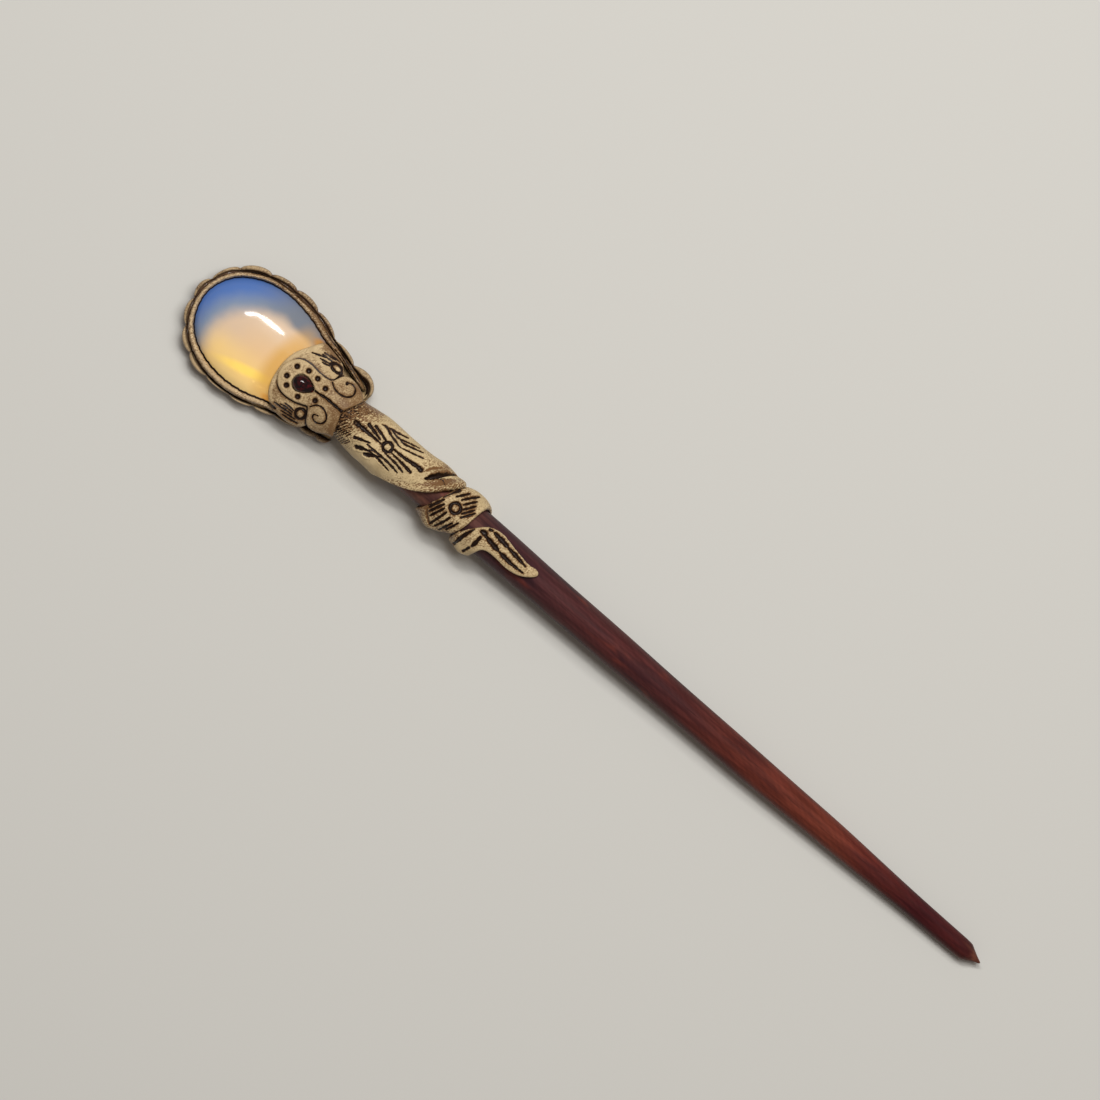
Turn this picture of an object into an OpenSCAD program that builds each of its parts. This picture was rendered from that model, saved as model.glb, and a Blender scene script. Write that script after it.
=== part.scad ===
// A hair stick: a turned wooden stick whose clay head holds an oval glass cabochon and a small pear-shaped stone.
// It lies along X, head at -X and point at +X, on the plane z = 0, with the stone up. Millimetres.

/* [Stick] */
// Length of the whole hair stick, from the edging to the point
total_l = 197; // [170:1:240]
// Diameter of the wood where it leaves the head
neck_d = 8; // [7:0.1:8.6]
// Diameter of the wood at the shoulder of the point
shoulder_d = 3.8; // [3:0.1:4.6]
// Length of the sharpened point
point_l = 3.8; // [2.5:0.1:8]
// Diameter left at the very end of the point
tip_d = 0.7; // [0.5:0.1:1.2]
// Length of wood hidden in the head
tenon_l = 4; // [2.6:0.1:4.4]
// Diameter of the wood hidden in the head
tenon_d = 6; // [5:0.1:6.2]
// Height of the stick's axis over the table where it leaves the head
neck_z = 6.4; // [6:0.1:7]

/* [Stone] */
// Length of the oval stone
stone_l = 29.5; // [26:0.5:32]
// Width of the oval stone
stone_w = 21.2; // [19:0.2:24]
// Thickness of the oval stone from its flat back to the top of its dome
stone_t = 7; // [5.5:0.1:8]
// Height of the stone's upright edge
girdle_t = 1.6; // [1:0.1:2.2]
// How far the oval stone lies to the +Y side of the stick's axis
stone_y = 0.1; // [0:0.05:0.3]

/* [Head] */
// Thickness of the clay base plate
base_t = 2.95; // [2.4:0.05:3.4]
// Thickness of the ledge under the stone's edge
ledge_t = 1.2; // [0.8:0.1:1.6]
// How far the ledge reaches in under the stone
ledge_w = 1.5; // [1:0.1:3]
// Clay wall of the base round the stone
wall_t = 0.35; // [0.3:0.05:0.8]
// Width of the strip that holds the stone's edge
bezel_w = 1.35; // [1.1:0.05:1.7]
// Height of that strip over the base plate
bezel_h = 2.5; // [2:0.1:3]
// Greatest width of the scalloped edging
edging_w = 1.5; // [1:0.1:2]
// Height of the edging
edging_h = 3.9; // [3:0.1:4.5]
// Depth of the edging's scallops
scallop_t = 0.35; // [0.1:0.05:0.5]
// Number of scallops from one end of the edging to the other
scallops = 18; // [10:1:22]

/* [Cap] */
// How far the cap reaches over the stone from the stone's end
cap_over = 9.45; // [8:0.1:11]
// How far the cap reaches past the stone's end
cap_past = 6.95; // [6.4:0.05:8]
// Width of the cap over its two lobes
cap_w = 15.2; // [14:0.1:16.5]
// Clay of the cap over the stone, at its thin end
cap_t = 0.6; // [0.5:0.05:1.2]
// Clay of the cap over the wooden stick
crown_t = 0.55; // [0.4:0.05:1]
// Thickness of the pad with the two scrolls
pad_t = 0.8; // [0.6:0.05:1.2]
// Width of the slit between the two scrolls
slit_w = 0.3; // [0.2:0.05:0.5]
// Length of the small pear-shaped stone
garnet_l = 4.8; // [4.2:0.1:5.4]
// Width of the small pear-shaped stone
garnet_w = 3.5; // [3:0.1:4]
// Height of the small stone from its flat back to its top
garnet_t = 2; // [1.6:0.1:2.4]
// Depth of the small stone's flat back under the cap's top
garnet_sink = 0.4; // [0.2:0.05:0.6]
// Place of the small stone across the stick's axis
garnet_y = -0.95; // [-1.1:0.05:-0.5]

/* [Wrap] */
// Length of the clay sleeve, measured on its long side
sleeve_l = 27; // [25:0.5:32]
// Thickness of the sleeve in its middle
sleeve_t = 1.15; // [0.9:0.05:1.25]
// Length of the wood that the clay ribbon winds along, from the sleeve's fold to the tail's end
ribbon_l = 26.2; // [24:0.2:34]
// Width of the widest turn of the ribbon
ribbon_w = 6.8; // [5.6:0.2:7.4]
// Thickness of the ribbon
ribbon_t = 1.25; // [0.9:0.05:1.3]

/* [Hidden] */
// Gap between pieces that lie against each other
fit = 0.05;
// Gap between pieces that lie against each other along a curved face, which takes up their flat facets
bore_fit = 0.08;

clay = [0.80, 0.71, 0.56];
brown_clay = [0.62, 0.47, 0.32];
wood = [0.30, 0.13, 0.10];
opal = [0.55, 0.66, 0.86];
dark_red = [0.20, 0.02, 0.04];

// Places along the stick are measured from the head's outer end, and this turns them into X.
function px(s) = s - total_l / 2;

// The stone lies inside the wall and the edging, and the head ends where the cap ends.
rim_gap = fit + wall_t;
stone_s = edging_w + fit + rim_gap + stone_l / 2;
stone_end = stone_s + stone_l / 2;
cap_s = stone_end - cap_over;
cap_l = cap_over + cap_past;
head_l = cap_s + cap_l;
dome_t = stone_t - girdle_t;

// Height of the stone's dome over the table at a place of the head
function dome_z(s, y) =
    let (q = 1 - pow((s - stone_s) / (stone_l / 2), 2) - pow((y - stone_y) / (stone_w / 2), 2))
    ledge_t + girdle_t + dome_t * sqrt(max(q, 0));

// The stick slopes down from the head, so that the shoulder of its point touches the table.
shoulder_l = total_l - head_l - point_l;
slope = asin((neck_z - shoulder_d / 2) / shoulder_l);

// Taper of the stick: share of the way to the shoulder, share of the diameter's fall there
TAPER = [[0, 0], [0.24, 0.05], [0.31, 0.17], [0.41, 0.22], [0.53, 0.35], [0.66, 0.44],
         [0.78, 0.58], [0.84, 0.73], [0.90, 0.86], [0.96, 0.94], [1, 1]];
function shaft_r(l) =
    (neck_d - (neck_d - shoulder_d) * lookup(max(l, 0) / shoulder_l, TAPER)) / 2;

// Places its children with their Z along the stick's axis from the head's end, and their -X upwards
module on_shaft() {
    translate([px(head_l), 0, neck_z])
        rotate([0, 90 + slope, 0])
            children();
}

// Curve through the points of a list, with n steps from each point to the next
function curve_at(p, i, t) =
    let (a = p[max(i - 1, 0)], b = p[i], c = p[i + 1], d = p[min(i + 2, len(p) - 1)])
    0.5 * (2 * b + (c - a) * t + (2 * a - 5 * b + 4 * c - d) * t * t + (3 * b - a - 3 * c + d) * t * t * t);
function curve(p, n) = [
    for (i = [0 : len(p) - 2]) for (k = [0 : n - 1]) curve_at(p, i, k / n),
    p[len(p) - 1]
];
// Unit vector along a curve at one of its points
function along(p, i) =
    let (v = p[min(i + 1, len(p) - 1)] - p[max(i - 1, 0)], w = [v[0], v[1]])
    w / norm(w);

// Closed skin over a row of rings that all have the same number of points
module skin(rings) {
    m = len(rings[0]);
    last = (len(rings) - 1) * m;
    sides = [
        for (i = [0 : len(rings) - 2]) for (j = [0 : m - 1])
            let (a = i * m + j, b = i * m + (j + 1) % m)
            each [[a, a + m, b], [b, a + m, b + m]]
    ];
    first_end = [for (j = [0 : m - 1]) j];
    last_end = [for (j = [m - 1 : -1 : 0]) last + j];
    polyhedron(points = [for (r = rings) each r], faces = concat(sides, [first_end, last_end]));
}

// Outline of an ellipse
function ellipse(a, b, n = 60) = [for (i = [0 : n - 1]) [a * cos(360 * i / n), b * sin(360 * i / n)]];

// The rim is the line between the base with its strip, inside, and the edging, outside. It starts at the cap's
// upper side, goes round the stone and ends at the cap's lower side.
// Arms: share of the way from the stone's middle to the head's end, share of half the cap's width,
// share of the edging's width, share of the edging's height
UPPER_ARM = [[1.01, 0.79, 0.40, 0.7], [0.97, 0.825, 1.15, 1.1], [0.88, 0.915, 1.00, 1.05], [0.72, 1.02, 0.75, 1.0],
             [0.553, 1.15, 0.65, 1.0], [0.44, 1.23, 0.65, 1.0], [0.29, 1.365, 0.75, 1.0]];
LOWER_ARM = [[0.60, -0.95, 0.55, 0.70], [0.72, -0.84, 0.60, 0.70], [0.87, -0.776, 0.55, 0.65],
             [0.98, -0.72, 0.35, 0.5]];
// Round stretch: angle on the stone's ellipse, share of the edging's width, share of the edging's height
ROUND = [[77, 0.75, 1], [120, 0.8, 1], [180, 0.95, 1], [235, 0.9, 1], [265, 0.62, 0.97], [290, 0.42, 0.85],
         [313, 0.45, 0.70]];
ROUND_W = [for (r = ROUND) [r[0], r[1]]];
ROUND_H = [for (r = ROUND) [r[0], r[2]]];
round_steps = 16;
round_from = ROUND[0][0];
round_to = ROUND[len(ROUND) - 1][0];
function arm(r) = [stone_s + r[0] * (head_l - stone_s), r[1] * cap_w / 2, r[2] * edging_w, r[3] * edging_h];
function round_at(a) = [
    stone_s + (stone_l / 2 + rim_gap + fit) * cos(a), stone_y + (stone_w / 2 + rim_gap + fit) * sin(a),
    lookup(a, ROUND_W) * edging_w, lookup(a, ROUND_H) * edging_h
];
rim = curve(concat(
    [for (r = UPPER_ARM) arm(r)],
    [for (k = [0 : round_steps]) round_at(round_from + (round_to - round_from) * k / round_steps)],
    [for (r = LOWER_ARM) arm(r)]), 4);
function outward(i) = let (t = along(rim, i)) [t[1], -t[0]];
function beside_rim(i, d) = [rim[i][0], rim[i][1]] + outward(i) * d;

// A place beside the rim, at a distance outwards and at a height
function rim_point(i, d, z) = let (p = beside_rim(i, d)) [px(p[0]), p[1], z];

// Places its children at the stone's middle, on the ledge
module at_stone(z = 0) {
    translate([px(stone_s), stone_y, z])
        children();
}

module base_outline() {
    polygon([for (i = [0 : 2 : len(rim) - 1]) let (p = beside_rim(i, -fit)) [px(p[0]), p[1]]]);
}

module base() {
    color(brown_clay)
        difference() {
            linear_extrude(base_t)
                base_outline();
            at_stone(ledge_t)
                linear_extrude(base_t)
                    polygon(ellipse(stone_l / 2 + fit, stone_w / 2 + fit));
            at_stone(-base_t)
                linear_extrude(3 * base_t)
                    polygon(ellipse(stone_l / 2 - ledge_w, stone_w / 2 - ledge_w));
            tenon_bore();
            sleeve_room();
        }
}

// Upright edge of the oval cabochon: share of its half length and width, share of the edge's height
STONE_EDGE = [[0.97, 0], [1, 0.3], [1, 1]];
dome_steps = 7;
module cabochon(grow) {
    rings = concat(
        [for (e = STONE_EDGE) [e[0], e[1] * girdle_t]],
        [for (k = [1 : dome_steps]) let (a = 86 * k / dome_steps) [cos(a), girdle_t + dome_t * sin(a)]]);
    at_stone(ledge_t)
        skin([for (r = rings)
            [for (p = ellipse(r[0] * stone_l / 2 + grow, r[0] * stone_w / 2 + grow, 44)) [p[0], p[1], r[1] + grow]]]);
}

module stone() {
    color(opal)
        cabochon(0);
}

// Section of the strip. Its underside lies on the base, then on the stone's dome: share of its width in from the rim.
// Its top: share of its width in from the rim, share of its height
BEZEL_UNDER = [0.3, 0.5, 0.75, 1];
BEZEL_TOP = [[1, 0.84], [0.7, 1], [0.28, 1], [0, 0.72]];
// It starts and ends this many steps of the rim before the rim does.
bezel_lead_steps = 7;
bezel_rest_steps = 19;
bezel_to = len(rim) - bezel_rest_steps;
// Share of its width near its two ends, where it narrows
function bezel_ease(i) = min(1, 0.4 + 0.12 * min(i - bezel_lead_steps, bezel_to - i));
function bezel_under(i, d) =
    let (p = beside_rim(i, d))
    rim_point(i, d, max(base_t + fit, dome_z(p[0], p[1]) + bore_fit));
module bezel() {
    color(clay)
        skin([for (i = [bezel_lead_steps : bezel_to])
            let (w = bezel_w * bezel_ease(i))
            concat(
                [rim_point(i, -fit, base_t + fit)],
                [for (q = BEZEL_UNDER) bezel_under(i, -fit - q * w)],
                [for (p = BEZEL_TOP) rim_point(i, -fit - p[0] * w, base_t + fit + p[1] * bezel_h)])]);
}

// Section of the edging: share of its width out from the rim, share of its height
EDGING_SECTION = [[0.05, 0.06], [0.05, 0.9], [0.3, 1], [0.7, 1], [1, 0.8], [0.95, 0.5], [0.6, 0.25], [0.5, 0.06]];
module edging() {
    color(brown_clay)
        skin([for (i = [0 : len(rim) - 1])
            let (wave = cos(360 * scallops * i / (len(rim) - 1)), w = rim[i][2] + scallop_t / 2 * (wave - 1),
                 h = rim[i][3] + scallop_t / 2 * (wave - 1))
            [for (p = EDGING_SECTION) rim_point(i, p[0] * w, p[1] * h)]]);
}

// Top of the cap along its middle: share of its length, share of the rise
CROWN_RISE = [[0, 0], [0.2, 0.32], [0.4, 0.56], [0.6, 0.75], [0.8, 0.9], [1, 1]];
// Its fall to the sides: share of its length, fall at half its width as a share of half its width
CROWN_FALL = [[0, 0.19], [0.4, 0.38], [0.7, 0.61], [1, 0.76]];
cap_half = cap_w / 2;
cap_low = dome_z(cap_s, 0) + cap_t;
cap_high = neck_z + neck_d / 2 + crown_t;
function cap_z(s, y) =
    let (q = (s - cap_s) / cap_l)
    cap_low + (cap_high - cap_low) * lookup(q, CROWN_RISE) - lookup(q, CROWN_FALL) * y * y / cap_half;

// Slab under the cap's curved top, with an equally curved underside, or a flat one at flat_z if it has no thickness
slab_steps = 12;
slab_half = cap_w * 0.6;
function across(j) = slab_half * (1 - 2 * j / slab_steps);
module slab(lift, thick, flat_z) {
    skin([for (i = [0 : slab_steps])
        let (s = cap_s + cap_l * i / slab_steps * 1.02)
        concat(
            [for (j = [0 : slab_steps])
                [px(s), across(j), max(cap_z(s, across(j)) + lift + thick, flat_z + crown_t)]],
            [for (j = thick > 0 ? [slab_steps : -1 : 0] : [slab_steps, 0])
                [px(s), across(j), thick > 0 ? cap_z(s, across(j)) + lift : flat_z]])]);
}

// A round spot of the cap: shares of its length and of its width, and radius as a share of its width
module spot(q, y, r) {
    translate([px(cap_s + q * cap_l), y * cap_w])
        circle(r * cap_w, $fn = 48);
}

// Its edge over the stone is one arc. The cap's body ends before the scrolls do, and the sleeve starts there.
cap_end_q = 0.86;
cap_end_half = neck_d / 2 + bore_fit + sleeve_t;
cap_arc = 0.7;
module cap_outline() {
    intersection() {
        translate([px(cap_s + cap_arc * cap_w), 0])
            circle(cap_arc * cap_w, $fn = 96);
        union() {
            hull() {
                spot(0.10, 0.34, 0.12);
                spot(0.50, 0.31, 0.13);
                spot(0.50, 0, 0.13);
                spot(0.10, 0, 0.13);
            }
            hull() {
                spot(0.10, -0.34, 0.15);
                spot(0.52, -0.385, 0.14);
                spot(0.50, 0, 0.14);
                spot(0.10, 0, 0.14);
            }
            translate([px(cap_s + cap_l / 2), -cap_end_half])
                square([(cap_end_q - 0.5) * cap_l, 2 * cap_end_half]);
        }
    }
}

module cap() {
    color(clay)
        difference() {
            intersection() {
                slab(0, 0, base_t + fit);
                translate([0, 0, base_t + fit])
                    linear_extrude(2 * neck_z)
                        cap_outline();
            }
            cabochon(fit);
            tenon_bore();
            garnet_pocket();
        }
}

module pad_outline() {
    difference() {
        union() {
            hull() {
                spot(0.20, 0.035, 0.165);
                spot(0.205, -0.145, 0.165);
                spot(0.60, -0.015, 0.21);
            }
            hull() {
                spot(0.765, 0.225, 0.165);
                spot(0.87, 0.185, 0.145);
            }
            hull() {
                spot(0.755, -0.225, 0.18);
                spot(0.875, -0.2, 0.15);
            }
        }
        translate([px(cap_s + 0.52 * cap_l), -slit_w / 2])
            square([cap_l, slit_w]);
    }
}

module scroll_pad() {
    color(clay)
        difference() {
            intersection() {
                slab(bore_fit, pad_t, 0);
                linear_extrude(3 * neck_z)
                    pad_outline();
            }
            garnet_pocket();
        }
}

// The small stone lies in a pocket through the pad, tilted as the cap's top is there.
garnet_q = 0.36;
garnet_s = cap_s + garnet_q * cap_l;
garnet_tilt = atan((cap_z(garnet_s + garnet_l / 2, 0) - cap_z(garnet_s - garnet_l / 2, 0)) / garnet_l);
module at_garnet() {
    translate([px(garnet_s), garnet_y, cap_z(garnet_s, garnet_y) - garnet_sink])
        rotate([0, -garnet_tilt, 0])
            children();
}

garnet_point_r = garnet_w * 0.157;
garnet_bend = garnet_w * 0.086;
module pear(grow) {
    hull() {
        translate([-(garnet_l - garnet_w) / 2, 0])
            circle(garnet_w / 2 + grow, $fn = 40);
        translate([garnet_l / 2 - garnet_point_r, garnet_bend])
            circle(garnet_point_r + grow, $fn = 24);
    }
}

module garnet_pocket() {
    at_garnet()
        linear_extrude(3 * garnet_t)
            pear(fit);
}

// Its dome: share of half its width in from the edge, share of its height
GARNET_STEPS = [[0, 0.45], [0.08, 0.72], [0.22, 0.89], [0.42, 0.97], [0.6, 1]];
module garnet() {
    color(dark_red)
        at_garnet()
            translate([0, 0, fit])
                hull()
                    for (step = GARNET_STEPS)
                        linear_extrude(garnet_t * step[1])
                            offset(delta = -step[0] * garnet_w / 2)
                                pear(0);
}

module shaft() {
    profile = concat(
        [[0, -tenon_l], [tenon_d / 2, -tenon_l], [tenon_d / 2, sleeve_from], [neck_d / 2, sleeve_from]],
        [for (t = TAPER) [shaft_r(t[0] * shoulder_l), t[0] * shoulder_l]],
        [[tip_d / 2, shoulder_l + point_l - tip_d / 2], [tip_d / 4, shoulder_l + point_l], [0, shoulder_l + point_l]]);
    color(wood)
        on_shaft()
            rotate_extrude($fn = 48)
                polygon(profile);
}

module tenon_bore() {
    on_shaft()
        translate([0, 0, -tenon_l - fit])
            cylinder(r = tenon_d / 2 + bore_fit, h = tenon_l * 3, $fn = 48);
}

// Sleeve: share of its length, share of its thickness
SLEEVE = [[0, 0.25], [0.1, 0.3], [0.14, 0.62], [0.22, 0.92], [0.34, 1], [0.64, 0.97], [0.8, 1.2], [0.9, 1.2],
          [1, 0.8]];
sleeve_from = (neck_d / 2 + sleeve_t) * sin(slope) + fit - cap_l * (1 - cap_end_q);
function sleeve_at(q) = sleeve_from + q * sleeve_l;
// Its end is cut off on the slant: lean of the cut, and turn of the lean round the stick
sleeve_lean = 58;
sleeve_turn = -52;
module sleeve_solid() {
    difference() {
        rotate_extrude($fn = 48)
            polygon(concat(
                [for (t = SLEEVE) let (l = sleeve_at(t[0])) [shaft_r(l) + bore_fit + t[1] * sleeve_t, l]],
                [for (k = [len(SLEEVE) - 1 : -1 : 0]) let (l = sleeve_at(SLEEVE[k][0])) [shaft_r(l) + bore_fit, l]]));
        translate([0, 0, sleeve_at(0.69)])
            rotate([0, sleeve_lean, sleeve_turn])
                translate([-sleeve_l, -sleeve_l, 0])
                    cube(2 * sleeve_l);
    }
}

// Room for the start of the sleeve in the neck of the base
module sleeve_room() {
    on_shaft()
        translate([0, 0, sleeve_from - fit])
            cylinder(r = neck_d / 2 + bore_fit + sleeve_t, h = cap_l, $fn = 48);
}

// Ribbon, from the sleeve's fold to the end of the tail: share of its length along the wood, angle round the wood
// from the top, share of half its greatest width, share of its thickness
RIBBON = [
    [0.00, 12, 0.24, 0.60], [0.07, 45, 0.32, 0.85], [0.125, 78, 0.38, 0.95], [0.125, 128, 0.42, 0.95],
    [0.11, 180, 0.46, 0.95], [0.095, 232, 0.52, 0.95], [0.11, 272, 0.66, 1.00], [0.175, 312, 0.90, 1.00],
    [0.245, 355, 1.00, 1.00], [0.30, 400, 1.00, 1.00], [0.34, 450, 0.92, 0.98], [0.375, 495, 0.84, 0.95],
    [0.405, 540, 0.76, 0.93], [0.435, 585, 0.68, 0.93], [0.46, 626, 0.62, 0.93], [0.478, 658, 0.60, 0.93],
    [0.50, 684, 0.60, 0.93], [0.54, 705, 0.60, 0.93], [0.62, 719, 0.62, 0.92], [0.72, 721, 0.62, 0.90],
    [0.81, 718, 0.56, 0.85], [0.89, 717, 0.48, 0.80], [0.955, 723, 0.32, 0.65], [1.00, 730, 0.10, 0.40]];
ribbon_steps = 4;
ribbon_from = sleeve_at(0.83);
// Laid flat: place along the wood, place round it, half width, thickness
ribbon_r = neck_d / 2;
flat_ribbon = curve([for (r = RIBBON)
    [ribbon_from + r[0] * ribbon_l, r[1] * PI / 180 * ribbon_r, r[2] * ribbon_w / 2, r[3] * ribbon_t]], ribbon_steps);
// Section: share of half the width, share of the thickness
RIBBON_SECTION = [[-1, 0.3], [-0.8, 0.82], [-0.4, 1], [0.4, 1], [0.8, 0.82], [1, 0.3],
                  [1, 0], [0.5, 0], [0, 0], [-0.5, 0], [-1, 0]];
module ribbon_solid() {
    skin([for (i = [len(flat_ribbon) - 1 : -1 : 0])
        let (f = flat_ribbon[i], t = along(flat_ribbon, i))
        [for (p = RIBBON_SECTION)
            let (l = f[0] - t[1] * p[0] * f[2], turn = (f[1] + t[0] * p[0] * f[2]) / ribbon_r * 180 / PI,
                 r = shaft_r(l) + bore_fit + p[1] * f[3])
            [-r * cos(turn), r * sin(turn), l]]]);
}

module wrap() {
    color(clay)
        on_shaft()
            union() {
                sleeve_solid();
                ribbon_solid();
            }
}

shaft();
base();
stone();
bezel();
edging();
cap();
scroll_pad();
garnet();
wrap();
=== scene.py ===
# A hair stick dressed for its picture: aged ivory clay, an opalescent oval stone, a small dark red stone and
# turned wood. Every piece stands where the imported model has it, in metres.
from math import cos, pi, radians, sin

import bpy
import numpy as np
from mathutils import Matrix, Vector


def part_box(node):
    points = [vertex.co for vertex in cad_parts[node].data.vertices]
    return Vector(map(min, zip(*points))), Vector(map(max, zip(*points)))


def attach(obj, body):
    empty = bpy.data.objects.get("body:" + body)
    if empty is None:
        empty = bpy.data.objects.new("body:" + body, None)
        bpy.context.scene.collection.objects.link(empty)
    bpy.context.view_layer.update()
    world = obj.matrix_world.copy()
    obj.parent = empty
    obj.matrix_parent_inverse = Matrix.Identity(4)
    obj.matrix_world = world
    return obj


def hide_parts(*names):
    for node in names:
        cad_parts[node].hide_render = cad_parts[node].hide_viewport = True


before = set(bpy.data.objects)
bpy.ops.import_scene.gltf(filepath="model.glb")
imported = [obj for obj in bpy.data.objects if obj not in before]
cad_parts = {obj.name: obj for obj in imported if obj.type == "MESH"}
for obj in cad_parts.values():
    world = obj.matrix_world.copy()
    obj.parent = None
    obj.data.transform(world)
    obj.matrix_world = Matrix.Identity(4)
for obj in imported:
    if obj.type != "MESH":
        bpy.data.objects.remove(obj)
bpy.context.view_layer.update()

MM = 0.001

# Places on the stick are read off the photograph, in its pixels: first along the stick, back from the point
# (negative), then across it, to the +Y side of the axis.
PIXEL = 0.19 * MM
POINT_BACK = 0.1 * MM
POINT_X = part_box("shaft")[1][0] - POINT_BACK


def along_x(u):
    return POINT_X + np.asarray(u, float) * PIXEL


def across_y(v):
    return np.asarray(v, float) * PIXEL


def spots_along(ends):
    """Two places along the stick, for a material"""
    return [float(along_x(u)) for u in ends]


def spots_across(ends):
    """Two places across the stick, for a material"""
    return [float(across_y(v)) for v in ends]


def places(points):
    """(along, across) pairs in pixels as an array of x, y in metres"""
    points = np.array(points, float)
    return np.stack([along_x(points[:, 0]), across_y(points[:, 1])], axis=1)


def pixels(x, y):
    """A place in metres as one in pixels"""
    return (x - POINT_X) / PIXEL, y / PIXEL


def rise(x, start, length):
    """0 up to a start, then evenly up to 1 over a length"""
    return np.clip((x - start) / length, 0, 1)


def hump(x, middle, reach):
    """A soft bump: 1 at its middle, fading to both sides"""
    return np.exp(-(((x - middle) / reach) ** 2))


def patches(a, b, table):
    """Soft round patches added up, each with its middle, its two reaches and its strength"""
    total = 0
    for middle_a, middle_b, reach_a, reach_b, strength in table:
        total = total + strength * hump(a, middle_a, reach_a) * hump(b, middle_b, reach_b)
    return total


def on_the_way(share, table):
    """A value for each share of the way, from a table of (share, value)"""
    return np.interp(share, *zip(*table))


def round_ends(way, length, least):
    """1 along a strip, curving down at both ends to the root of the least value"""
    end = np.minimum(np.minimum(way, way[-1] - way) / length, 1)
    return np.sqrt(np.clip(1 - (1 - end) ** 2, least, 1))


# The wood's axis slopes down from the neck to the shoulder of the point.
NECK_X = -60.1 * MM
NECK_Z = 6.4 * MM
SHOULDER_L = 154.8 * MM
NECK_R = 4.0 * MM
SHOULDER_R = 1.9 * MM
POINT_L = 3.8 * MM
TENON_L = 4.0 * MM
TENON_R = 3.0 * MM
TENON_STEP = 2.2 * MM
SLOPE = np.arcsin((NECK_Z - SHOULDER_R) / SHOULDER_L)
AXIS = np.array([np.cos(SLOPE), 0, -np.sin(SLOPE)])
UP = np.array([np.sin(SLOPE), 0, np.cos(SLOPE)])

# The stone's oval, and how high it stands
STONE_EDGE = 1.6 * MM
stone_low, stone_high = (np.array(c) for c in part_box("stone"))
STONE_X, STONE_Y = ((stone_low + stone_high) / 2)[:2]
STONE_A, STONE_B = ((stone_high - stone_low) / 2)[:2]
GIRDLE_Z = stone_low[2] + STONE_EDGE
DOME_T = stone_high[2] - GIRDLE_Z
BASE_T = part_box("base")[1][2]

# The cap starts over the stone and ends at the neck.
CAP_L = 16.4 * MM
CAP_X = NECK_X - CAP_L
CAP_HALF = 7.6 * MM
CAP_LOW = 8.44 * MM
CAP_HIGH = 10.95 * MM
# How its top climbs from the low end to the high one, and how round it is across, by the share of its length
CAP_CLIMBS = [(0, 0), (0.2, 0.32), (0.4, 0.56), (0.6, 0.75), (0.8, 0.9), (1, 1)]
CAP_FALLS = [(0, 0.19), (0.4, 0.38), (0.7, 0.61), (1, 0.76)]
# How the wood gets thinner from the neck (0) to the shoulder (1), by the share of its length
WOOD_THINS = [
    (0, 0), (0.24, 0.05), (0.31, 0.17), (0.41, 0.22), (0.53, 0.35), (0.66, 0.44), (0.78, 0.58), (0.84, 0.73),
    (0.90, 0.86), (0.96, 0.94), (1, 1),
]


def dome_z(x, y):
    """Height of the stone's dome over the table"""
    rest = 1 - ((x - STONE_X) / STONE_A) ** 2 - ((y - STONE_Y) / STONE_B) ** 2
    return GIRDLE_Z + DOME_T * np.sqrt(np.clip(rest, 0, None))


def cap_z(x, y):
    """Height of the cap's smooth top over the table"""
    share = (x - CAP_X) / CAP_L
    middle = CAP_LOW + (CAP_HIGH - CAP_LOW) * on_the_way(share, CAP_CLIMBS)
    return middle - on_the_way(share, CAP_FALLS) * y * y / CAP_HALF


def wood_r(l):
    """Radius of the wood at a distance along its axis from the neck"""
    return NECK_R - (NECK_R - SHOULDER_R) * on_the_way(np.clip(l / SHOULDER_L, 0, 1), WOOD_THINS)


def round_wood(l, r, turn):
    """Points at a distance along the wood, a radius from its axis and a turn from the top towards +Y"""
    neck = np.array([NECK_X, 0, NECK_Z])
    return (
        neck
        + np.outer(l, AXIS)
        + np.outer(r * np.cos(turn), UP)
        + np.outer(r * np.sin(turn), [0, 1, 0])
    )


def curve_through(points, steps=6, closed=False):
    """Smooth line through given points"""
    p = np.array(points, float)
    n = len(p)
    if n < 3 and not closed:
        return p[:1] + np.linspace(0, 1, steps + 1)[:, None] * (p[1:] - p[:1])
    line = []
    for i in range(n if closed else n - 1):
        a, b, c, d = (
            (p[(i + k) % n] for k in (-1, 0, 1, 2))
            if closed
            else (p[max(i - 1, 0)], p[i], p[i + 1], p[min(i + 2, n - 1)])
        )
        for t in np.arange(steps) / steps:
            bend = (2 * a - 5 * b + 4 * c - d) * t**2 + (3 * b - a - 3 * c + d) * t**3
            line.append(0.5 * (2 * b + (c - a) * t + bend))
    if not closed:
        line.append(p[-1])
    return np.array(line)


def even_steps(line, gap):
    """The same line with its points a fixed distance apart, and the distance to each from the start"""
    way = np.concatenate([[0], np.cumsum(np.linalg.norm(np.diff(line[:, :2], axis=0), axis=1))])
    at = np.linspace(0, way[-1], int(round(way[-1] / gap)) + 1)
    return np.stack([np.interp(at, way, line[:, k]) for k in range(line.shape[1])], axis=1), at


def nearest_on(points, line):
    """Distance of each point to a line of straight steps, and the share of the line before that place"""
    way = np.concatenate([[0], np.cumsum(np.linalg.norm(np.diff(line, axis=0), axis=1))])
    best, along = np.full(len(points), np.inf), np.zeros(len(points))
    for k in range(len(line) - 1):
        step = line[k + 1] - line[k]
        share = np.clip(((points - line[k]) @ step) / max(step @ step, 1e-18), 0, 1)
        away = np.linalg.norm(points - line[k] - share[:, None] * step, axis=1)
        closer = away < best
        best[closer] = away[closer]
        along[closer] = way[k] + share[closer] * (way[k + 1] - way[k])
    return best, along / way[-1]


def select_none():
    if bpy.context.object and bpy.context.object.mode != "OBJECT":
        bpy.ops.object.mode_set(mode="OBJECT")
    bpy.ops.object.select_all(action="DESELECT")


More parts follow.
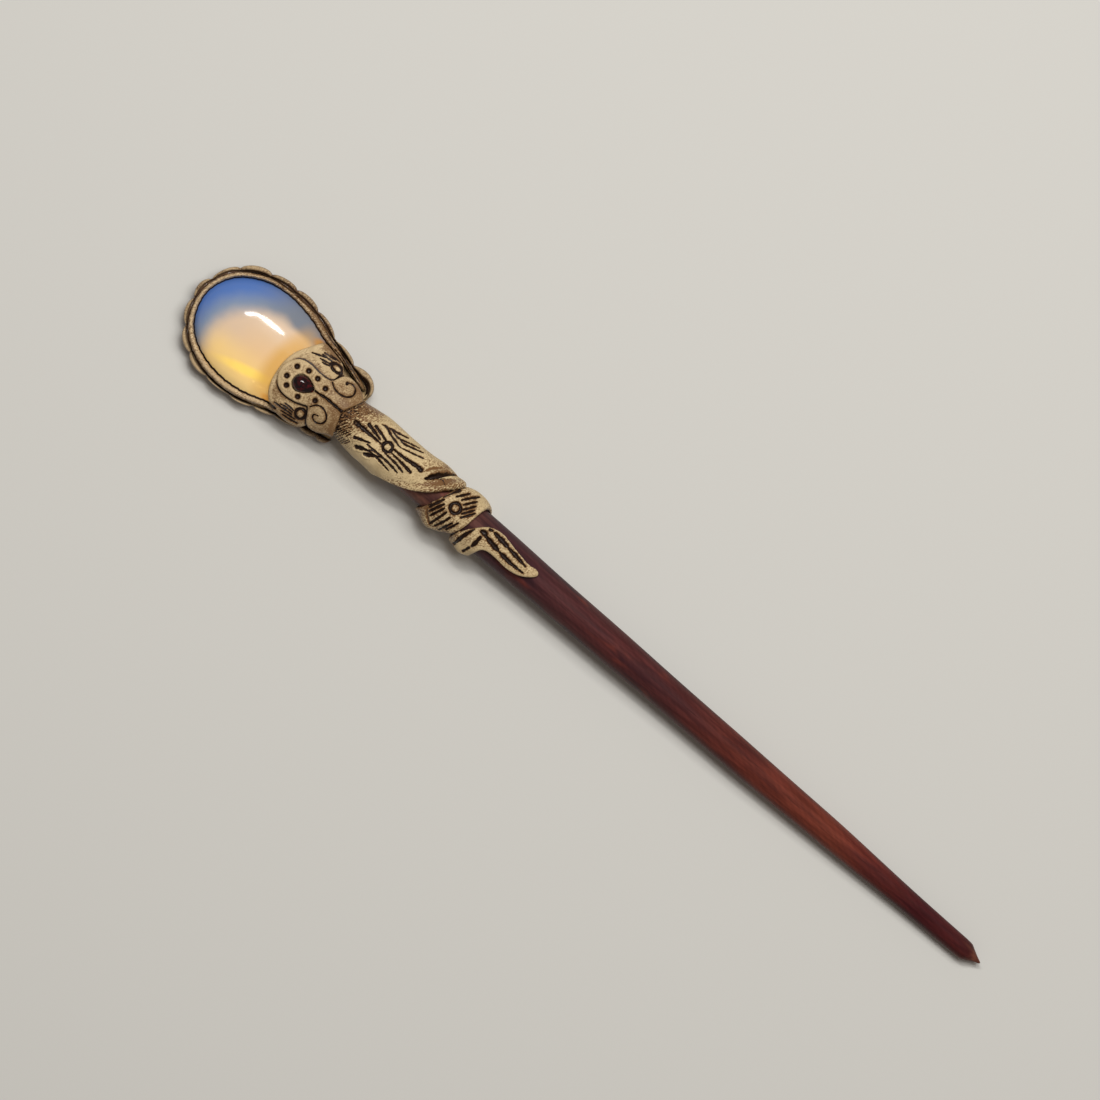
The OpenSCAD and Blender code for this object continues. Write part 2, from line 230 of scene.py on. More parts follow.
def pick(piece):
    select_none()
    piece.select_set(True)
    bpy.context.view_layer.objects.active = piece


def face_outwards(piece):
    """Turns all faces outwards"""
    pick(piece)
    bpy.ops.object.mode_set(mode="EDIT")
    bpy.ops.mesh.select_all(action="SELECT")
    bpy.ops.mesh.normals_make_consistent(inside=False)
    bpy.ops.object.mode_set(mode="OBJECT")


def spin_round(piece, steps, seam):
    """A line or loop in the XZ plane, spun once round Z; points closer than the seam are merged"""
    pick(piece)
    bpy.ops.object.mode_set(mode="EDIT")
    bpy.ops.mesh.select_all(action="SELECT")
    bpy.ops.mesh.spin(steps=steps, angle=2 * pi, center=(0, 0, 0), axis=(0, 0, 1), dupli=False)
    bpy.ops.mesh.select_all(action="SELECT")
    bpy.ops.mesh.remove_doubles(threshold=seam)
    bpy.ops.object.mode_set(mode="OBJECT")


def new_piece(name, points, edges, faces):
    mesh = bpy.data.meshes.new(name)
    mesh.from_pydata(points, edges, faces)
    piece = bpy.data.objects.new(name, mesh)
    bpy.context.collection.objects.link(piece)
    return piece


def half_ball(name, segments, rings, skirts):
    """The upper half of a ball, its edge drawn down in steps and closed by a flat back. Each step has its
    depth and how far it draws the edge in."""
    select_none()
    bpy.ops.mesh.primitive_uv_sphere_add(segments=segments, ring_count=rings, radius=1)
    ball = bpy.context.object
    ball.name = ball.data.name = name
    bpy.ops.object.mode_set(mode="EDIT")
    bpy.ops.mesh.select_all(action="SELECT")
    bpy.ops.mesh.bisect(plane_co=(0, 0, 0), plane_no=(0, 0, 1), clear_inner=True)
    bpy.ops.mesh.select_all(action="DESELECT")
    bpy.ops.mesh.select_mode(type="VERT")
    bpy.ops.object.mode_set(mode="OBJECT")
    for vertex in ball.data.vertices:
        vertex.select = vertex.co.z < 0.001
    bpy.ops.object.mode_set(mode="EDIT")
    for depth, draw in skirts:
        bpy.ops.mesh.extrude_region_move(TRANSFORM_OT_translate={"value": (0, 0, -depth)})
        bpy.ops.transform.resize(value=(draw, draw, 1), center_override=(0, 0, 0))
    bpy.ops.mesh.edge_face_add()
    bpy.ops.object.mode_set(mode="OBJECT")
    face_outwards(ball)
    return ball


def finish_modifier(piece, kind, **settings):
    """A modifier with its settings, applied at once"""
    pick(piece)
    modifier = piece.modifiers.new(kind.title(), kind)
    for name, value in settings.items():
        setattr(modifier, name, value)
    bpy.ops.object.modifier_apply(modifier=modifier.name)


def read(mesh, what="co"):
    values = np.empty(len(mesh.vertices) * 3)
    source = mesh.vertices if what == "co" else mesh.vertex_normals
    source.foreach_get("co" if what == "co" else "vector", values)
    return values.reshape(-1, 3)


def reshape(piece, points):
    piece.data.vertices.foreach_set("co", np.ascontiguousarray(points, float).ravel())
    piece.data.update()


def keep(piece, name, values):
    """A value for each point, which the finish reads"""
    layer = piece.data.attributes.get(name) or piece.data.attributes.new(name, "FLOAT", "POINT")
    layer.data.foreach_set("value", np.ascontiguousarray(values, np.float32))


def kept(piece, name):
    values = np.zeros(len(piece.data.vertices), np.float32)
    layer = piece.data.attributes.get(name)
    if layer:
        layer.data.foreach_get("value", values)
    return values


def neighbours(mesh):
    """Both ends of every edge, and how many edges meet at each point"""
    ends = np.empty(len(mesh.edges) * 2, int)
    mesh.edges.foreach_get("vertices", ends)
    a, b = ends.reshape(-1, 2).T
    n = len(mesh.vertices)
    return a, b, np.bincount(a, minlength=n) + np.bincount(b, minlength=n)


def spread(values, around, rounds):
    """A value for each point, evened out over the points around it, again and again"""
    a, b, count = around
    n = len(count)
    for _ in range(rounds):
        values = (np.bincount(a, values[b], n) + np.bincount(b, values[a], n)) / count
    return values


def hollow_depth(piece, rounds):
    """How deep each point lies under its smoothed surroundings, in mm"""
    points = read(piece.data)
    around = neighbours(piece.data)
    smoothed = np.stack([spread(points[:, k], around, rounds) for k in range(3)], axis=1)
    return ((smoothed - points) * read(piece.data, "normal")).sum(axis=1) / MM


def halo(piece, rounds):
    """The soft brown edge round the ink and painted shade: their value spread over the points around"""
    return spread(kept(piece, "ink_and_shade").astype(float), neighbours(piece.data), rounds)


def rub(piece, hollows, ink_and_shade):
    """Brown clay in the hollows and round the ink, wiped off what stands out; the brown in the hollows is
    also
    painted shade. Hollows: how far round each point is looked at, gain, least and most; the last: how far the
    ink and painted shade spread, and their strength."""
    rounds, gain, least, most = hollows
    in_hollows = np.clip(hollow_depth(piece, rounds) * gain, least, most)
    return in_hollows + ink_and_shade[1] * halo(piece, ink_and_shade[0])


# A tool mark's section: half its groove as a share of its width, and the raised edge beside it, whose place
# and width are shares of that half and whose height is a share of the mark's depth
GROOVE_HALF = 0.58
LIP_PLACE = 1.75
LIP_WIDTH = 0.45
LIP_HEIGHT = 0.26
# Where a mark is deeper than this, the raised edges of its neighbours count half
DEEP_MARK = 0.066 * MM


def mark_width(line, route, along, turn):
    """How wide a mark is on its way, as a share of its width: uneven, and tapered at its ends"""
    steps = np.linalg.norm(np.diff(route[:, :2], axis=0), axis=1)
    way = along * steps.sum() / MM
    uneven = 1 + 0.14 * np.sin(way * 4.1 + turn) + 0.08 * np.sin(way * 9.7 + 2 * turn)
    if line.shape[1] == 3:
        return uneven * np.interp(along, np.concatenate([[0], np.cumsum(steps)]) / steps.sum(), route[:, 2])
    if np.linalg.norm(route[0] - route[-1]) < 0.2 * MM:
        return uneven
    return uneven * (0.66 + 0.34 * np.sin(pi * np.clip(along, 0.03, 0.97)) ** 0.5)


def press(piece, marks):
    """Tool marks pressed into the clay from above: (points in pixels, width in pixels, depth in mm, ink).
    A point may carry a third number, its own share of the width."""
    points, normals = read(piece.data), read(piece.data, "normal")
    ink_and_shade, sunk, heaved = kept(piece, "ink_and_shade"), np.zeros(len(points)), np.zeros(len(points))
    facing = normals[:, 2] > 0.05
    for turn, (line, width, depth, dark) in enumerate(marks):
        line = np.array(line, float)
        route = places(line)
        if len(line) > 1:
            route = curve_through(np.column_stack([route, line[:, 2:]]), 5)
        half = GROOVE_HALF * width * PIXEL
        low, high = route[:, :2].min(axis=0) - 4 * half, route[:, :2].max(axis=0) + 4 * half
        inside = (points[:, :2] > low).all(axis=1) & (points[:, :2] < high).all(axis=1)
        near = np.flatnonzero(facing & inside)
        if len(near) == 0:
            continue
        if len(line) == 1:
            away = np.linalg.norm(points[near, :2] - route[0, :2], axis=1) / half
        else:
            away, along = nearest_on(points[near, :2], route[:, :2])
            away = away / (half * mark_width(line, route, along, turn))
        cut = 0.78 * np.clip(1.15 - away**2, 0, 1) ** 0.6 + 0.22 * hump(away, 0, 2.1)
        sunk[near] = np.maximum(sunk[near], depth * MM * cut)
        heaved[near] = np.maximum(heaved[near], LIP_HEIGHT * depth * MM * hump(away, LIP_PLACE, LIP_WIDTH))
        ink_and_shade[near] = np.maximum(ink_and_shade[near], dark * np.clip(1.5 - 0.85 * away**1.6, 0, 1))
    moved = np.where(sunk > DEEP_MARK, sunk - 0.5 * heaved, sunk - heaved)
    reshape(piece, points - normals * moved[:, None])
    keep(piece, "ink_and_shade", ink_and_shade)


# Workbench for pieces cut from a rolled sheet of clay: millimetres, flat on the plane z = 0


def draw_plate(outline, thick, edge):
    """A flat filled curve with rounded edges, as a mesh"""
    select_none()
    bpy.ops.curve.primitive_bezier_circle_add()
    drawn = bpy.context.object
    drawn.data.splines.clear()
    for loop in outline:
        spline = drawn.data.splines.new("POLY")
        spline.points.add(len(loop) - 1)
        flat = np.column_stack([loop, np.zeros(len(loop)), np.ones(len(loop))])
        spline.points.foreach_set("co", flat.ravel())
        spline.use_cyclic_u = True
    drawn.data.dimensions = "2D"
    drawn.data.fill_mode = "BOTH"
    drawn.data.offset = -edge
    drawn.data.extrude = thick / 2 - edge
    drawn.data.bevel_depth = edge
    drawn.data.bevel_resolution = 4
    bpy.ops.object.convert(target="MESH")
    return bpy.context.object


def cut_sheet(name, outlines, thick, edge, grain):
    """A plate cut along outlines (mm), with rounded edges, as an even net of small faces"""
    plates = [draw_plate(outline, thick, edge) for outline in outlines]
    pick(plates[0])
    for plate in plates:
        plate.select_set(True)
    if len(plates) > 1:
        bpy.ops.object.join()
    sheet = bpy.context.object
    sheet.name = sheet.data.name = name
    bpy.ops.object.mode_set(mode="EDIT")
    bpy.ops.mesh.select_all(action="SELECT")
    bpy.ops.mesh.remove_doubles(threshold=0.001)
    bpy.ops.mesh.normals_make_consistent(inside=False)
    bpy.ops.object.mode_set(mode="OBJECT")
    finish_modifier(sheet, "REMESH", mode="VOXEL", voxel_size=grain)
    finish_modifier(sheet, "SMOOTH", factor=0.5, iterations=4)
    reshape(sheet, read(sheet.data) + [0, 0, thick / 2])
    return sheet


def from_rings(name, rings):
    """Skin over a row of closed rings of points, each with the same number, with both ends closed"""
    rings = np.array(rings)
    count, m = rings.shape[:2]
    faces = []
    for start in range(0, (count - 1) * m, m):
        for j in range(m):
            k = (j + 1) % m
            faces.append((start + j, start + k, start + m + k, start + m + j))
    faces.append(tuple(range(m - 1, -1, -1)))
    faces.append(tuple(range((count - 1) * m, count * m)))
    piece = new_piece(name, rings.reshape(-1, 3), [], faces)
    face_outwards(piece)
    return piece


def smooth(piece):
    pick(piece)
    bpy.ops.object.shade_smooth()


def dress(piece, finish, slot, *nodes):
    piece.data.materials.clear()
    piece.data.materials.append(finish)
    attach(piece, "root")
    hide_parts(*nodes)


# Finishes


# Outputs asked for by number: the object's own place, the strength of a wave and that of an attribute
OBJECT_PLACE = 3
WAVE_STRENGTH = 1
ATTRIBUTE_STRENGTH = 2


def plug(tree, node, name, value):
    socket = node.inputs[name]
    if isinstance(value, bpy.types.NodeSocket):
        tree.links.new(value, socket)
    else:
        socket.default_value = value


def node(tree, kind, out=0, settings=None, **inputs):
    """A node with its settings and inputs; returns one of its outputs"""
    made = tree.nodes.new(kind)
    for name, value in (settings or {}).items():
        setattr(made, name, value)
    for name, value in inputs.items():
        key = int(name[1:]) if name[0] == "i" and name[1:].isdigit() else name.replace("_", " ")
        plug(tree, made, key, value)
    return made.outputs[out]


def value(tree, operation, a, b=0.0):
    return node(tree, "ShaderNodeMath", settings={"operation": operation}, i0=a, i1=b)


def plus(tree, a, b):
    return value(tree, "ADD", a, b)


def minus(tree, a, b):
    return value(tree, "SUBTRACT", a, b)


def times(tree, a, b):
    return value(tree, "MULTIPLY", a, b)


def add_shares(tree, total, *parts):
    """A value with shares of other values added"""
    for part, share in parts:
        total = plus(tree, total, times(tree, part, share))
    return total


def step(tree, x, low, high, to_low=0.0, to_high=1.0, way="SMOOTHSTEP"):
    """From one value to another while x goes from low to high"""
    return node(
        tree, "ShaderNodeMapRange", settings={"interpolation_type": way},
        Value=x, From_Min=low, From_Max=high, To_Min=to_low, To_Max=to_high,
    )


def blend(tree, share, a, b, way="MIX"):
    """Two colours mixed; a colour mix has its colours at sockets 6 and 7 and its result at 2"""
    made = tree.nodes.new("ShaderNodeMix")
    made.data_type = "RGBA"
    made.blend_type = way
    plug(tree, made, 0, share)
    plug(tree, made, 6, a)
    plug(tree, made, 7, b)
    return made.outputs[2]


def noise(tree, at, scale, detail=3.0, rough=0.55):
    return node(tree, "ShaderNodeTexNoise", Vector=at, Scale=scale, Detail=detail, Roughness=rough)


def stretch(tree, at, scale):
    return node(tree, "ShaderNodeMapping", Vector=at, Scale=scale)


def object_place(tree):
    return node(tree, "ShaderNodeTexCoord", OBJECT_PLACE)


def object_axes(tree):
    """The place along and across the stick"""
    parts = tree.nodes.new("ShaderNodeSeparateXYZ")
    tree.links.new(object_place(tree), parts.inputs[0])
    return parts.outputs[0], parts.outputs[1]


def waves(tree, at, scale, direction, distortion, detail, detail_scale):
    return node(
        tree, "ShaderNodeTexWave", WAVE_STRENGTH,
        {"wave_type": "BANDS", "wave_profile": "SIN", "bands_direction": direction},
        Vector=at, Scale=scale, Distortion=distortion, Detail=detail, Detail_Scale=detail_scale,
    )


def colour(red, green, blue):
    """A colour as it looks on screen, 0 to 255, in linear light"""
    share = np.array([red, green, blue]) / 255
    linear = np.where(share <= 0.04045, share / 12.92, ((share + 0.055) / 1.055) ** 2.4)
    return (*[float(x) for x in linear], 1.0)


def new_group(name, inputs, outputs):
    group = bpy.data.node_groups.new(name, "ShaderNodeTree")
    for label, kind in inputs:
        group.interface.new_socket(label, in_out="INPUT", socket_type=kind)
    for label, kind in outputs:
        group.interface.new_socket(label, in_out="OUTPUT", socket_type=kind)
    return group, group.nodes.new("NodeGroupInput").outputs, group.nodes.new("NodeGroupOutput").inputs


# How fine the clay's patterns are
CLOUDS = 330.0
SPECKS = 3300.0
PITS = 5200.0
THREADS = 720.0
STROKE_SLANT = -0.55


def cloth_print(group, at, strength):
    """The print of cloth: a fine weave under short slanted strokes, as a value round zero"""
    slanted = node(
        group, "ShaderNodeMapping", settings={"vector_type": "TEXTURE"},
        Vector=at, Rotation=(0, 0, STROKE_SLANT), Scale=(1, 2.8, 1.7),
    )
    strokes = noise(group, slanted, PITS, 1.0, 0.4)
    warp = waves(group, at, THREADS, "X", 1.6, 1.0, 0.6)
    weft = waves(group, at, THREADS, "Y", 1.6, 1.0, 0.6)
    weave = times(group, times(group, warp, weft), 0.22)
    weave = plus(group, weave, step(group, strokes, 0.38, 0.62, 0.0, 0.78))
    return times(group, minus(group, 0.50, weave), strength)


def aged_clay_group():
    """Ivory clay rubbed with brown wash and painted shade, filled with near-black ink and painted shade,
    speckled, printed with cloth where asked
    """
    group, given, wanted = new_group(
        "aged clay",
        [
            ("Clay", "NodeSocketColor"),
            ("Brown", "NodeSocketColor"),
            ("Ink And Shade", "NodeSocketColor"),
            ("Ink And Shade Depth", "NodeSocketFloat"),
            ("Brown Wash And Shade", "NodeSocketFloat"),
            ("Cloth Print", "NodeSocketFloat"),
            ("Ink Roughness", "NodeSocketFloat"),
        ],
        [("Color", "NodeSocketColor"), ("Roughness", "NodeSocketFloat"), ("Height", "NodeSocketFloat")],
    )
    at = object_place(group)
    cloud = noise(group, at, CLOUDS, 4.0)
    speck = noise(group, at, SPECKS, 3.0, 0.7)
    pits = noise(group, at, PITS, 2.0)
    cloth = cloth_print(group, at, given["Cloth Print"])
    tone = blend(group, step(group, cloud, 0.3, 0.7), (0.80, 0.77, 0.72, 1), (1.08, 1.07, 1.05, 1))
    body = blend(group, 1.0, given["Clay"], tone, "MULTIPLY")
    spots = minus(group, speck, 0.5)

    browned = add_shares(
        group, given["Brown Wash And Shade"],
        (spots, 1.7), (minus(group, cloud, 0.5), 1.3), (given["Ink And Shade Depth"], 0.8), (cloth, 1.3),
    )
    browned = step(group, browned, 0.05, 1.0)
    darkened = add_shares(group, given["Ink And Shade Depth"], (spots, 0.25), (cloth, 0.55))
    darkened = step(group, darkened, 0.32, 0.72)
    shade = blend(group, darkened, blend(group, browned, body, given["Brown"]), given["Ink And Shade"])
    polish = add_shares(group, given["Brown Wash And Shade"], (given["Ink And Shade Depth"], 1.1))
    rough = step(group, polish, 0.2, 1.3, 0.58, given["Ink Roughness"])
    high = add_shares(group, times(group, pits, 0.35), (speck, 0.7), (cloth, -2.0))
    group.links.new(shade, wanted["Color"])
    group.links.new(rough, wanted["Roughness"])
    group.links.new(high, wanted["Height"])
    return group


def new_finish(name, **shares):
    """A material with a Principled shader, its constant values given by name"""
    finish = bpy.data.materials.new(name)
    finish.use_nodes = True
    tree = finish.node_tree
    tree.nodes.clear()
    shader = tree.nodes.new("ShaderNodeBsdfPrincipled")
    output = tree.nodes.new("ShaderNodeOutputMaterial")
    tree.links.new(shader.outputs[0], output.inputs["Surface"])
    for label, share in shares.items():
        shader.inputs[label.replace("_", " ")].default_value = share
    return finish, tree, shader


def relief(tree, shader, height):
    """Fine relief from a height, half strength and up to 0.05 mm deep"""
    bump = node(tree, "ShaderNodeBump", Height=height, Strength=0.5, Distance=0.05 * MM)
    tree.links.new(bump, shader.inputs["Normal"])


def attribute(tree, name):
    return node(tree, "ShaderNodeAttribute", ATTRIBUTE_STRENGTH, {"attribute_name": name})


# The near-black of the ink, also the colour of the painted shade in corners and at the feet of the pieces
INK_AND_SHADE = colour(32, 18, 12)


def clay_finish(name, clay, brown, brown_wash_and_shade, ink_roughness=0.36, coat=0.03):
    """The aged clay with its own tints; the brown wash and painted shade given here are added to what the
    piece itself has
    """
    finish, tree, shader = new_finish(name, Specular_IOR_Level=0.35, Coat_Weight=coat, Coat_Roughness=0.3)
    aged = tree.nodes.new("ShaderNodeGroup")
    aged.node_tree = clay_group
    plug(tree, aged, "Clay", clay)
    plug(tree, aged, "Brown", brown)
    plug(tree, aged, "Ink And Shade", INK_AND_SHADE)
    plug(tree, aged, "Ink Roughness", ink_roughness)
    plug(tree, aged, "Ink And Shade Depth", attribute(tree, "ink_and_shade"))
    plug(tree, aged, "Brown Wash And Shade", plus(tree, attribute(tree, "brown_wash_and_shade"), brown_wash_and_shade))
    plug(tree, aged, "Cloth Print", attribute(tree, "cloth"))
    tree.links.new(aged.outputs["Color"], shader.inputs["Base Color"])
    tree.links.new(aged.outputs["Roughness"], shader.inputs["Roughness"])
    relief(tree, shader, aged.outputs["Height"])
    return finish


# The wood's colour from the sleeve to the point, as shares of its visible length; the lighter tones at 0.12
# and
# 0.165, between the sleeve and the band, are painted light reflected from the clay
WOOD_FROM = -0.062
WOOD_TO = 0.0985
WOOD_TONES = [
    (0.00, (62, 38, 37)), (0.12, (106, 72, 61)), (0.165, (96, 63, 54)), (0.24, (62, 37, 42)),
    (0.335, (74, 42, 43)), (0.42, (75, 39, 39)), (0.525, (77, 40, 39)), (0.64, (91, 43, 35)),
    (0.755, (104, 51, 39)), (0.80, (89, 39, 33)), (0.88, (62, 24, 27)), (0.95, (70, 28, 28)),
    (0.975, (72, 30, 28)), (0.99, (84, 45, 37)), (1.0, (100, 60, 46)),
]
# Where the dark figure gets fainter, and where the red flecks end, along the stick in pixels
FIGURE_FADES = (-470, -380)
FLECKS_END = (-180, -300)
RIPPLE_SLANT = 0.5


def wood_colours(tree, place):
    ramp = tree.nodes.new("ShaderNodeValToRGB")
    tree.links.new(step(tree, place, WOOD_FROM, WOOD_TO, way="LINEAR"), ramp.inputs[0])
    first, last = ramp.color_ramp.elements[0], ramp.color_ramp.elements[1]
    first.position, first.color = WOOD_TONES[0][0], colour(*WOOD_TONES[0][1])
    last.position, last.color = WOOD_TONES[-1][0], colour(*WOOD_TONES[-1][1])
    for where, tone in WOOD_TONES[1:-1]:
        ramp.color_ramp.elements.new(where).color = colour(*tone)
    return ramp.outputs[0]


def wood_finish():
    """Dark red-brown wood, oiled, with fine grain along the stick"""
    finish, tree, shader = new_finish("oiled red wood", Specular_IOR_Level=0.14)
    at = object_place(tree)
    x, y = object_axes(tree)
    grain = noise(tree, stretch(tree, at, (0.06, 1, 1)), 1700.0, 4.0, 0.6)
    bands = noise(tree, stretch(tree, at, (0.055, 1, 1)), 330.0, 3.0)
    pores = noise(tree, stretch(tree, at, (0.02, 1, 1)), 4200.0, 2.0, 0.5)
    wander = minus(tree, bands, 0.5)
    shade = wood_colours(tree, plus(tree, x, times(tree, wander, 0.03)))
    streak = blend(tree, step(tree, grain, 0.28, 0.74), (0.76, 0.71, 0.71, 1), (1.30, 1.24, 1.21, 1))
    shade = blend(tree, 1.0, shade, streak, "MULTIPLY")
    # a little darker towards the +Y side
    side = plus(tree, y, times(tree, wander, 0.008))
    side = step(tree, side, 0.8 * MM, 3.6 * MM, 1.06, 0.90)
    grey = node(tree, "ShaderNodeCombineColor", Red=side, Green=side, Blue=side)
    shade = blend(tree, 1.0, shade, grey, "MULTIPLY")
    # broad dark streaks near the clay, fainter towards the point, with redder flecks between them
    figure = noise(tree, stretch(tree, at, (0.13, 1, 1)), 360.0, 2.0)
    fade = step(tree, x, *spots_along(FIGURE_FADES), 0.62, 0.25)
    shade = blend(tree, times(tree, step(tree, figure, 0.50, 0.64), fade), shade, colour(42, 26, 33))
    fleck = noise(tree, stretch(tree, at, (0.35, 1, 1)), 300.0, 2.0)
    fleck = times(tree, step(tree, fleck, 0.56, 0.70, 0.0, 0.5), step(tree, x, *spots_along(FLECKS_END)))
    shade = blend(tree, fleck, shade, colour(112, 52, 42))
    # a ripple in the grain, slanting across it
    slanted = node(tree, "ShaderNodeMapping", Vector=at, Rotation=(0, 0, RIPPLE_SLANT))
    ripple = waves(tree, slanted, 330.0, "Y", 5.0, 2.0, 0.5)
    shade = blend(tree, times(tree, ripple, 0.11), shade, colour(36, 17, 18))
    shade = blend(tree, step(tree, pores, 0.62, 0.75, 0.0, 0.45), shade, colour(30, 15, 13))
    tree.links.new(shade, shader.inputs["Base Color"])
    tree.links.new(step(tree, grain, 0.3, 0.75, 0.40, 0.52), shader.inputs["Roughness"])
    relief(tree, shader, minus(tree, times(tree, grain, 0.5), step(tree, pores, 0.6, 0.75)))
    return finish


# The opal's colour zones, in pixels, are painted light: scattered blue light at the head's end and peach
# light let through in the middle. The peach heart: its middle and reach
HEART = ((-925, -18), (76, 56))
# The blue turns grey on the +Y side, towards the cap: from where to where along and across
GREY_ALONG = (-1000, -935)
GREY_ACROSS = (0, 30)
# The heart draws back from the +Y edge near the cap
HEART_ENDS_ALONG = (-950, -925)
HEART_ENDS_ACROSS = (22, 46)
# Painted yellow glow on the -Y side, and its paler fringe
PAINTED_GLOW_ACROSS = (-4, -34)
PAINTED_GLOW_ALONG = (-1006, -978)
PAINTED_FRINGE_ACROSS = (-38, -52)
# The bright streak in it, a painted caustic: middle, reach and how it rises along the stone
PAINTED_CAUSTIC = ((-941, -30.6), (39, 6.6))
PAINTED_CAUSTIC_RISES = 0.26
# Painted warm glow beside the cap and in the two corners: middle, reach, outer edge as a share of it, and
# colour
PAINTED_GLOW_SPOTS = [
    ((-917, -3), (17, 42), (0.5, 1.4), (206, 160, 80)),
    ((-904, 37), (8, 5), (0.4, 1.4), (190, 134, 54)),
    ((-909, -39), (8, 4), (0.4, 1.3), (214, 150, 62)),
]


def far_from(tree, x, y, middle, reach):
    """Distance from a middle, as a share of a reach, both in pixels"""
    a = value(tree, "DIVIDE", minus(tree, x, float(along_x(middle[0]))), reach[0] * PIXEL)
    b = value(tree, "DIVIDE", minus(tree, y, float(across_y(middle[1]))), reach[1] * PIXEL)
    return value(tree, "SQRT", plus(tree, times(tree, a, a), times(tree, b, b)))


def opal_finish():
    """Opalescent glass with painted light: blue at the head's end, peach in the middle, yellow and orange
    towards the cap, all glowing as painted emission
    """
    finish, tree, shader = new_finish(
        "opalescent glass with painted glow", Emission_Strength=0.30, Roughness=0.1, Transmission_Weight=0.25, IOR=1.5,
        Coat_Weight=0.4, Coat_Roughness=0.09,
    )
    x, y = object_axes(tree)
    haze = noise(tree, object_place(tree), 180.0, 2.0)
    heart = plus(tree, far_from(tree, x, y, *HEART), times(tree, minus(tree, haze, 0.5), 0.14))
    peach = blend(tree, step(tree, heart, 0.1, 0.9), colour(220, 186, 140), colour(208, 184, 158))
    blue = blend(tree, step(tree, heart, 1.02, 1.30), colour(128, 142, 162), colour(80, 114, 176))
    grey = step(tree, x, *spots_along(GREY_ALONG), 0.0, 0.95)
    grey = times(tree, grey, step(tree, y, *spots_across(GREY_ACROSS)))
    blue = blend(tree, grey, blue, colour(116, 122, 132))
    ends = step(tree, y, *spots_across(HEART_ENDS_ACROSS), 0.0, 0.27)
    heart = plus(tree, heart, times(tree, ends, step(tree, x, *spots_along(HEART_ENDS_ALONG))))
    body = blend(tree, step(tree, heart, 0.82, 1.10), peach, blue)

    # painted yellow glow on the -Y side, with its paler fringe
    low = step(tree, y, *spots_across(PAINTED_GLOW_ACROSS), 0.0, 0.85)
    low = times(tree, low, step(tree, x, *spots_along(PAINTED_GLOW_ALONG)))
    body = blend(tree, low, body, colour(236, 202, 130))
    painted_fringe = times(tree, step(tree, y, *spots_across(PAINTED_FRINGE_ACROSS), 0.0, 0.6), low)
    body = blend(tree, painted_fringe, body, colour(204, 186, 132))
    # the painted caustic streak
    rising = times(tree, minus(tree, x, float(along_x(PAINTED_CAUSTIC[0][0]))), PAINTED_CAUSTIC_RISES)
    streak = far_from(tree, x, minus(tree, y, rising), *PAINTED_CAUSTIC)
    body = blend(tree, step(tree, streak, 0.3, 1.2, 0.75, 0.0), body, colour(255, 222, 104))
    # painted warm glow
    for middle, reach, (inner, outer), tone in PAINTED_GLOW_SPOTS:
        painted_glow = step(tree, far_from(tree, x, y, middle, reach), inner, outer, 0.8, 0.0)
        body = blend(tree, painted_glow, body, colour(*tone))
    tree.links.new(body, shader.inputs["Base Color"])
    # the same colours glow from the glass itself: a painted glow
    tree.links.new(body, shader.inputs["Emission Color"])
    return finish


# The painted red glow starts in the small stone's middle and is full at its point
PAINTED_RED_GLOW_ALONG = (-892, -882)


def garnet_finish():
    """Polished dark red stone, almost black, with a painted red glow inside"""
    finish, tree, shader = new_finish(
        "dark garnet", Roughness=0.08, Specular_IOR_Level=0.4, Coat_Weight=0.4, Coat_Roughness=0.14
    )
    x, _ = object_axes(tree)
    cloud = noise(tree, object_place(tree), 900.0, 3.0)
    painted_red_glow = times(tree, step(tree, x, *spots_along(PAINTED_RED_GLOW_ALONG), 0.3, 1.0), step(tree, cloud, 0.40, 0.62))
    body = blend(tree, painted_red_glow, colour(13, 4, 6), colour(98, 10, 20))
    tree.links.new(body, shader.inputs["Base Color"])
    return finish


clay_group = aged_clay_group()
IVORY = colour(207, 184, 144)
BROWN = colour(118, 88, 56)
cap_clay = clay_finish("ivory clay", IVORY, BROWN, 0.50)
wrap_clay = clay_finish("ivory clay, rubbed", colour(207, 186, 145), colour(114, 81, 49), 0.50)
rim_clay = clay_finish("brown rubbed clay", colour(184, 161, 126), colour(98, 72, 54), 0.38, 0.2, 0.15)
strip_clay = clay_finish("ivory clay strip", colour(206, 182, 146), BROWN, 0.34)
base_clay = clay_finish("back of the clay", colour(196, 168, 124), BROWN, 0.2)
wood = wood_finish()
opal = opal_finish()
garnet_red = garnet_finish()


# The wooden stick, turned from an outline


# The outline of its point: radius, and way from the wood's shoulder
POINT_OUTLINE = [
    (1.88 * MM, 0.1 * MM), (1.80 * MM, 0.45 * MM), (1.62 * MM, 0.8 * MM), (1.16 * MM, 1.65 * MM),
    (0.66 * MM, 2.6 * MM), (0.34 * MM, POINT_L - 0.45 * MM), (0.18 * MM, POINT_L - 0.1 * MM), (0, POINT_L),
]
# The thin end swerves to the +Y side: from where along the wood, over what length, and how far
SWAY_FROM = 98 * MM
SWAY_L = 27 * MM
SWAY = 0.21 * MM


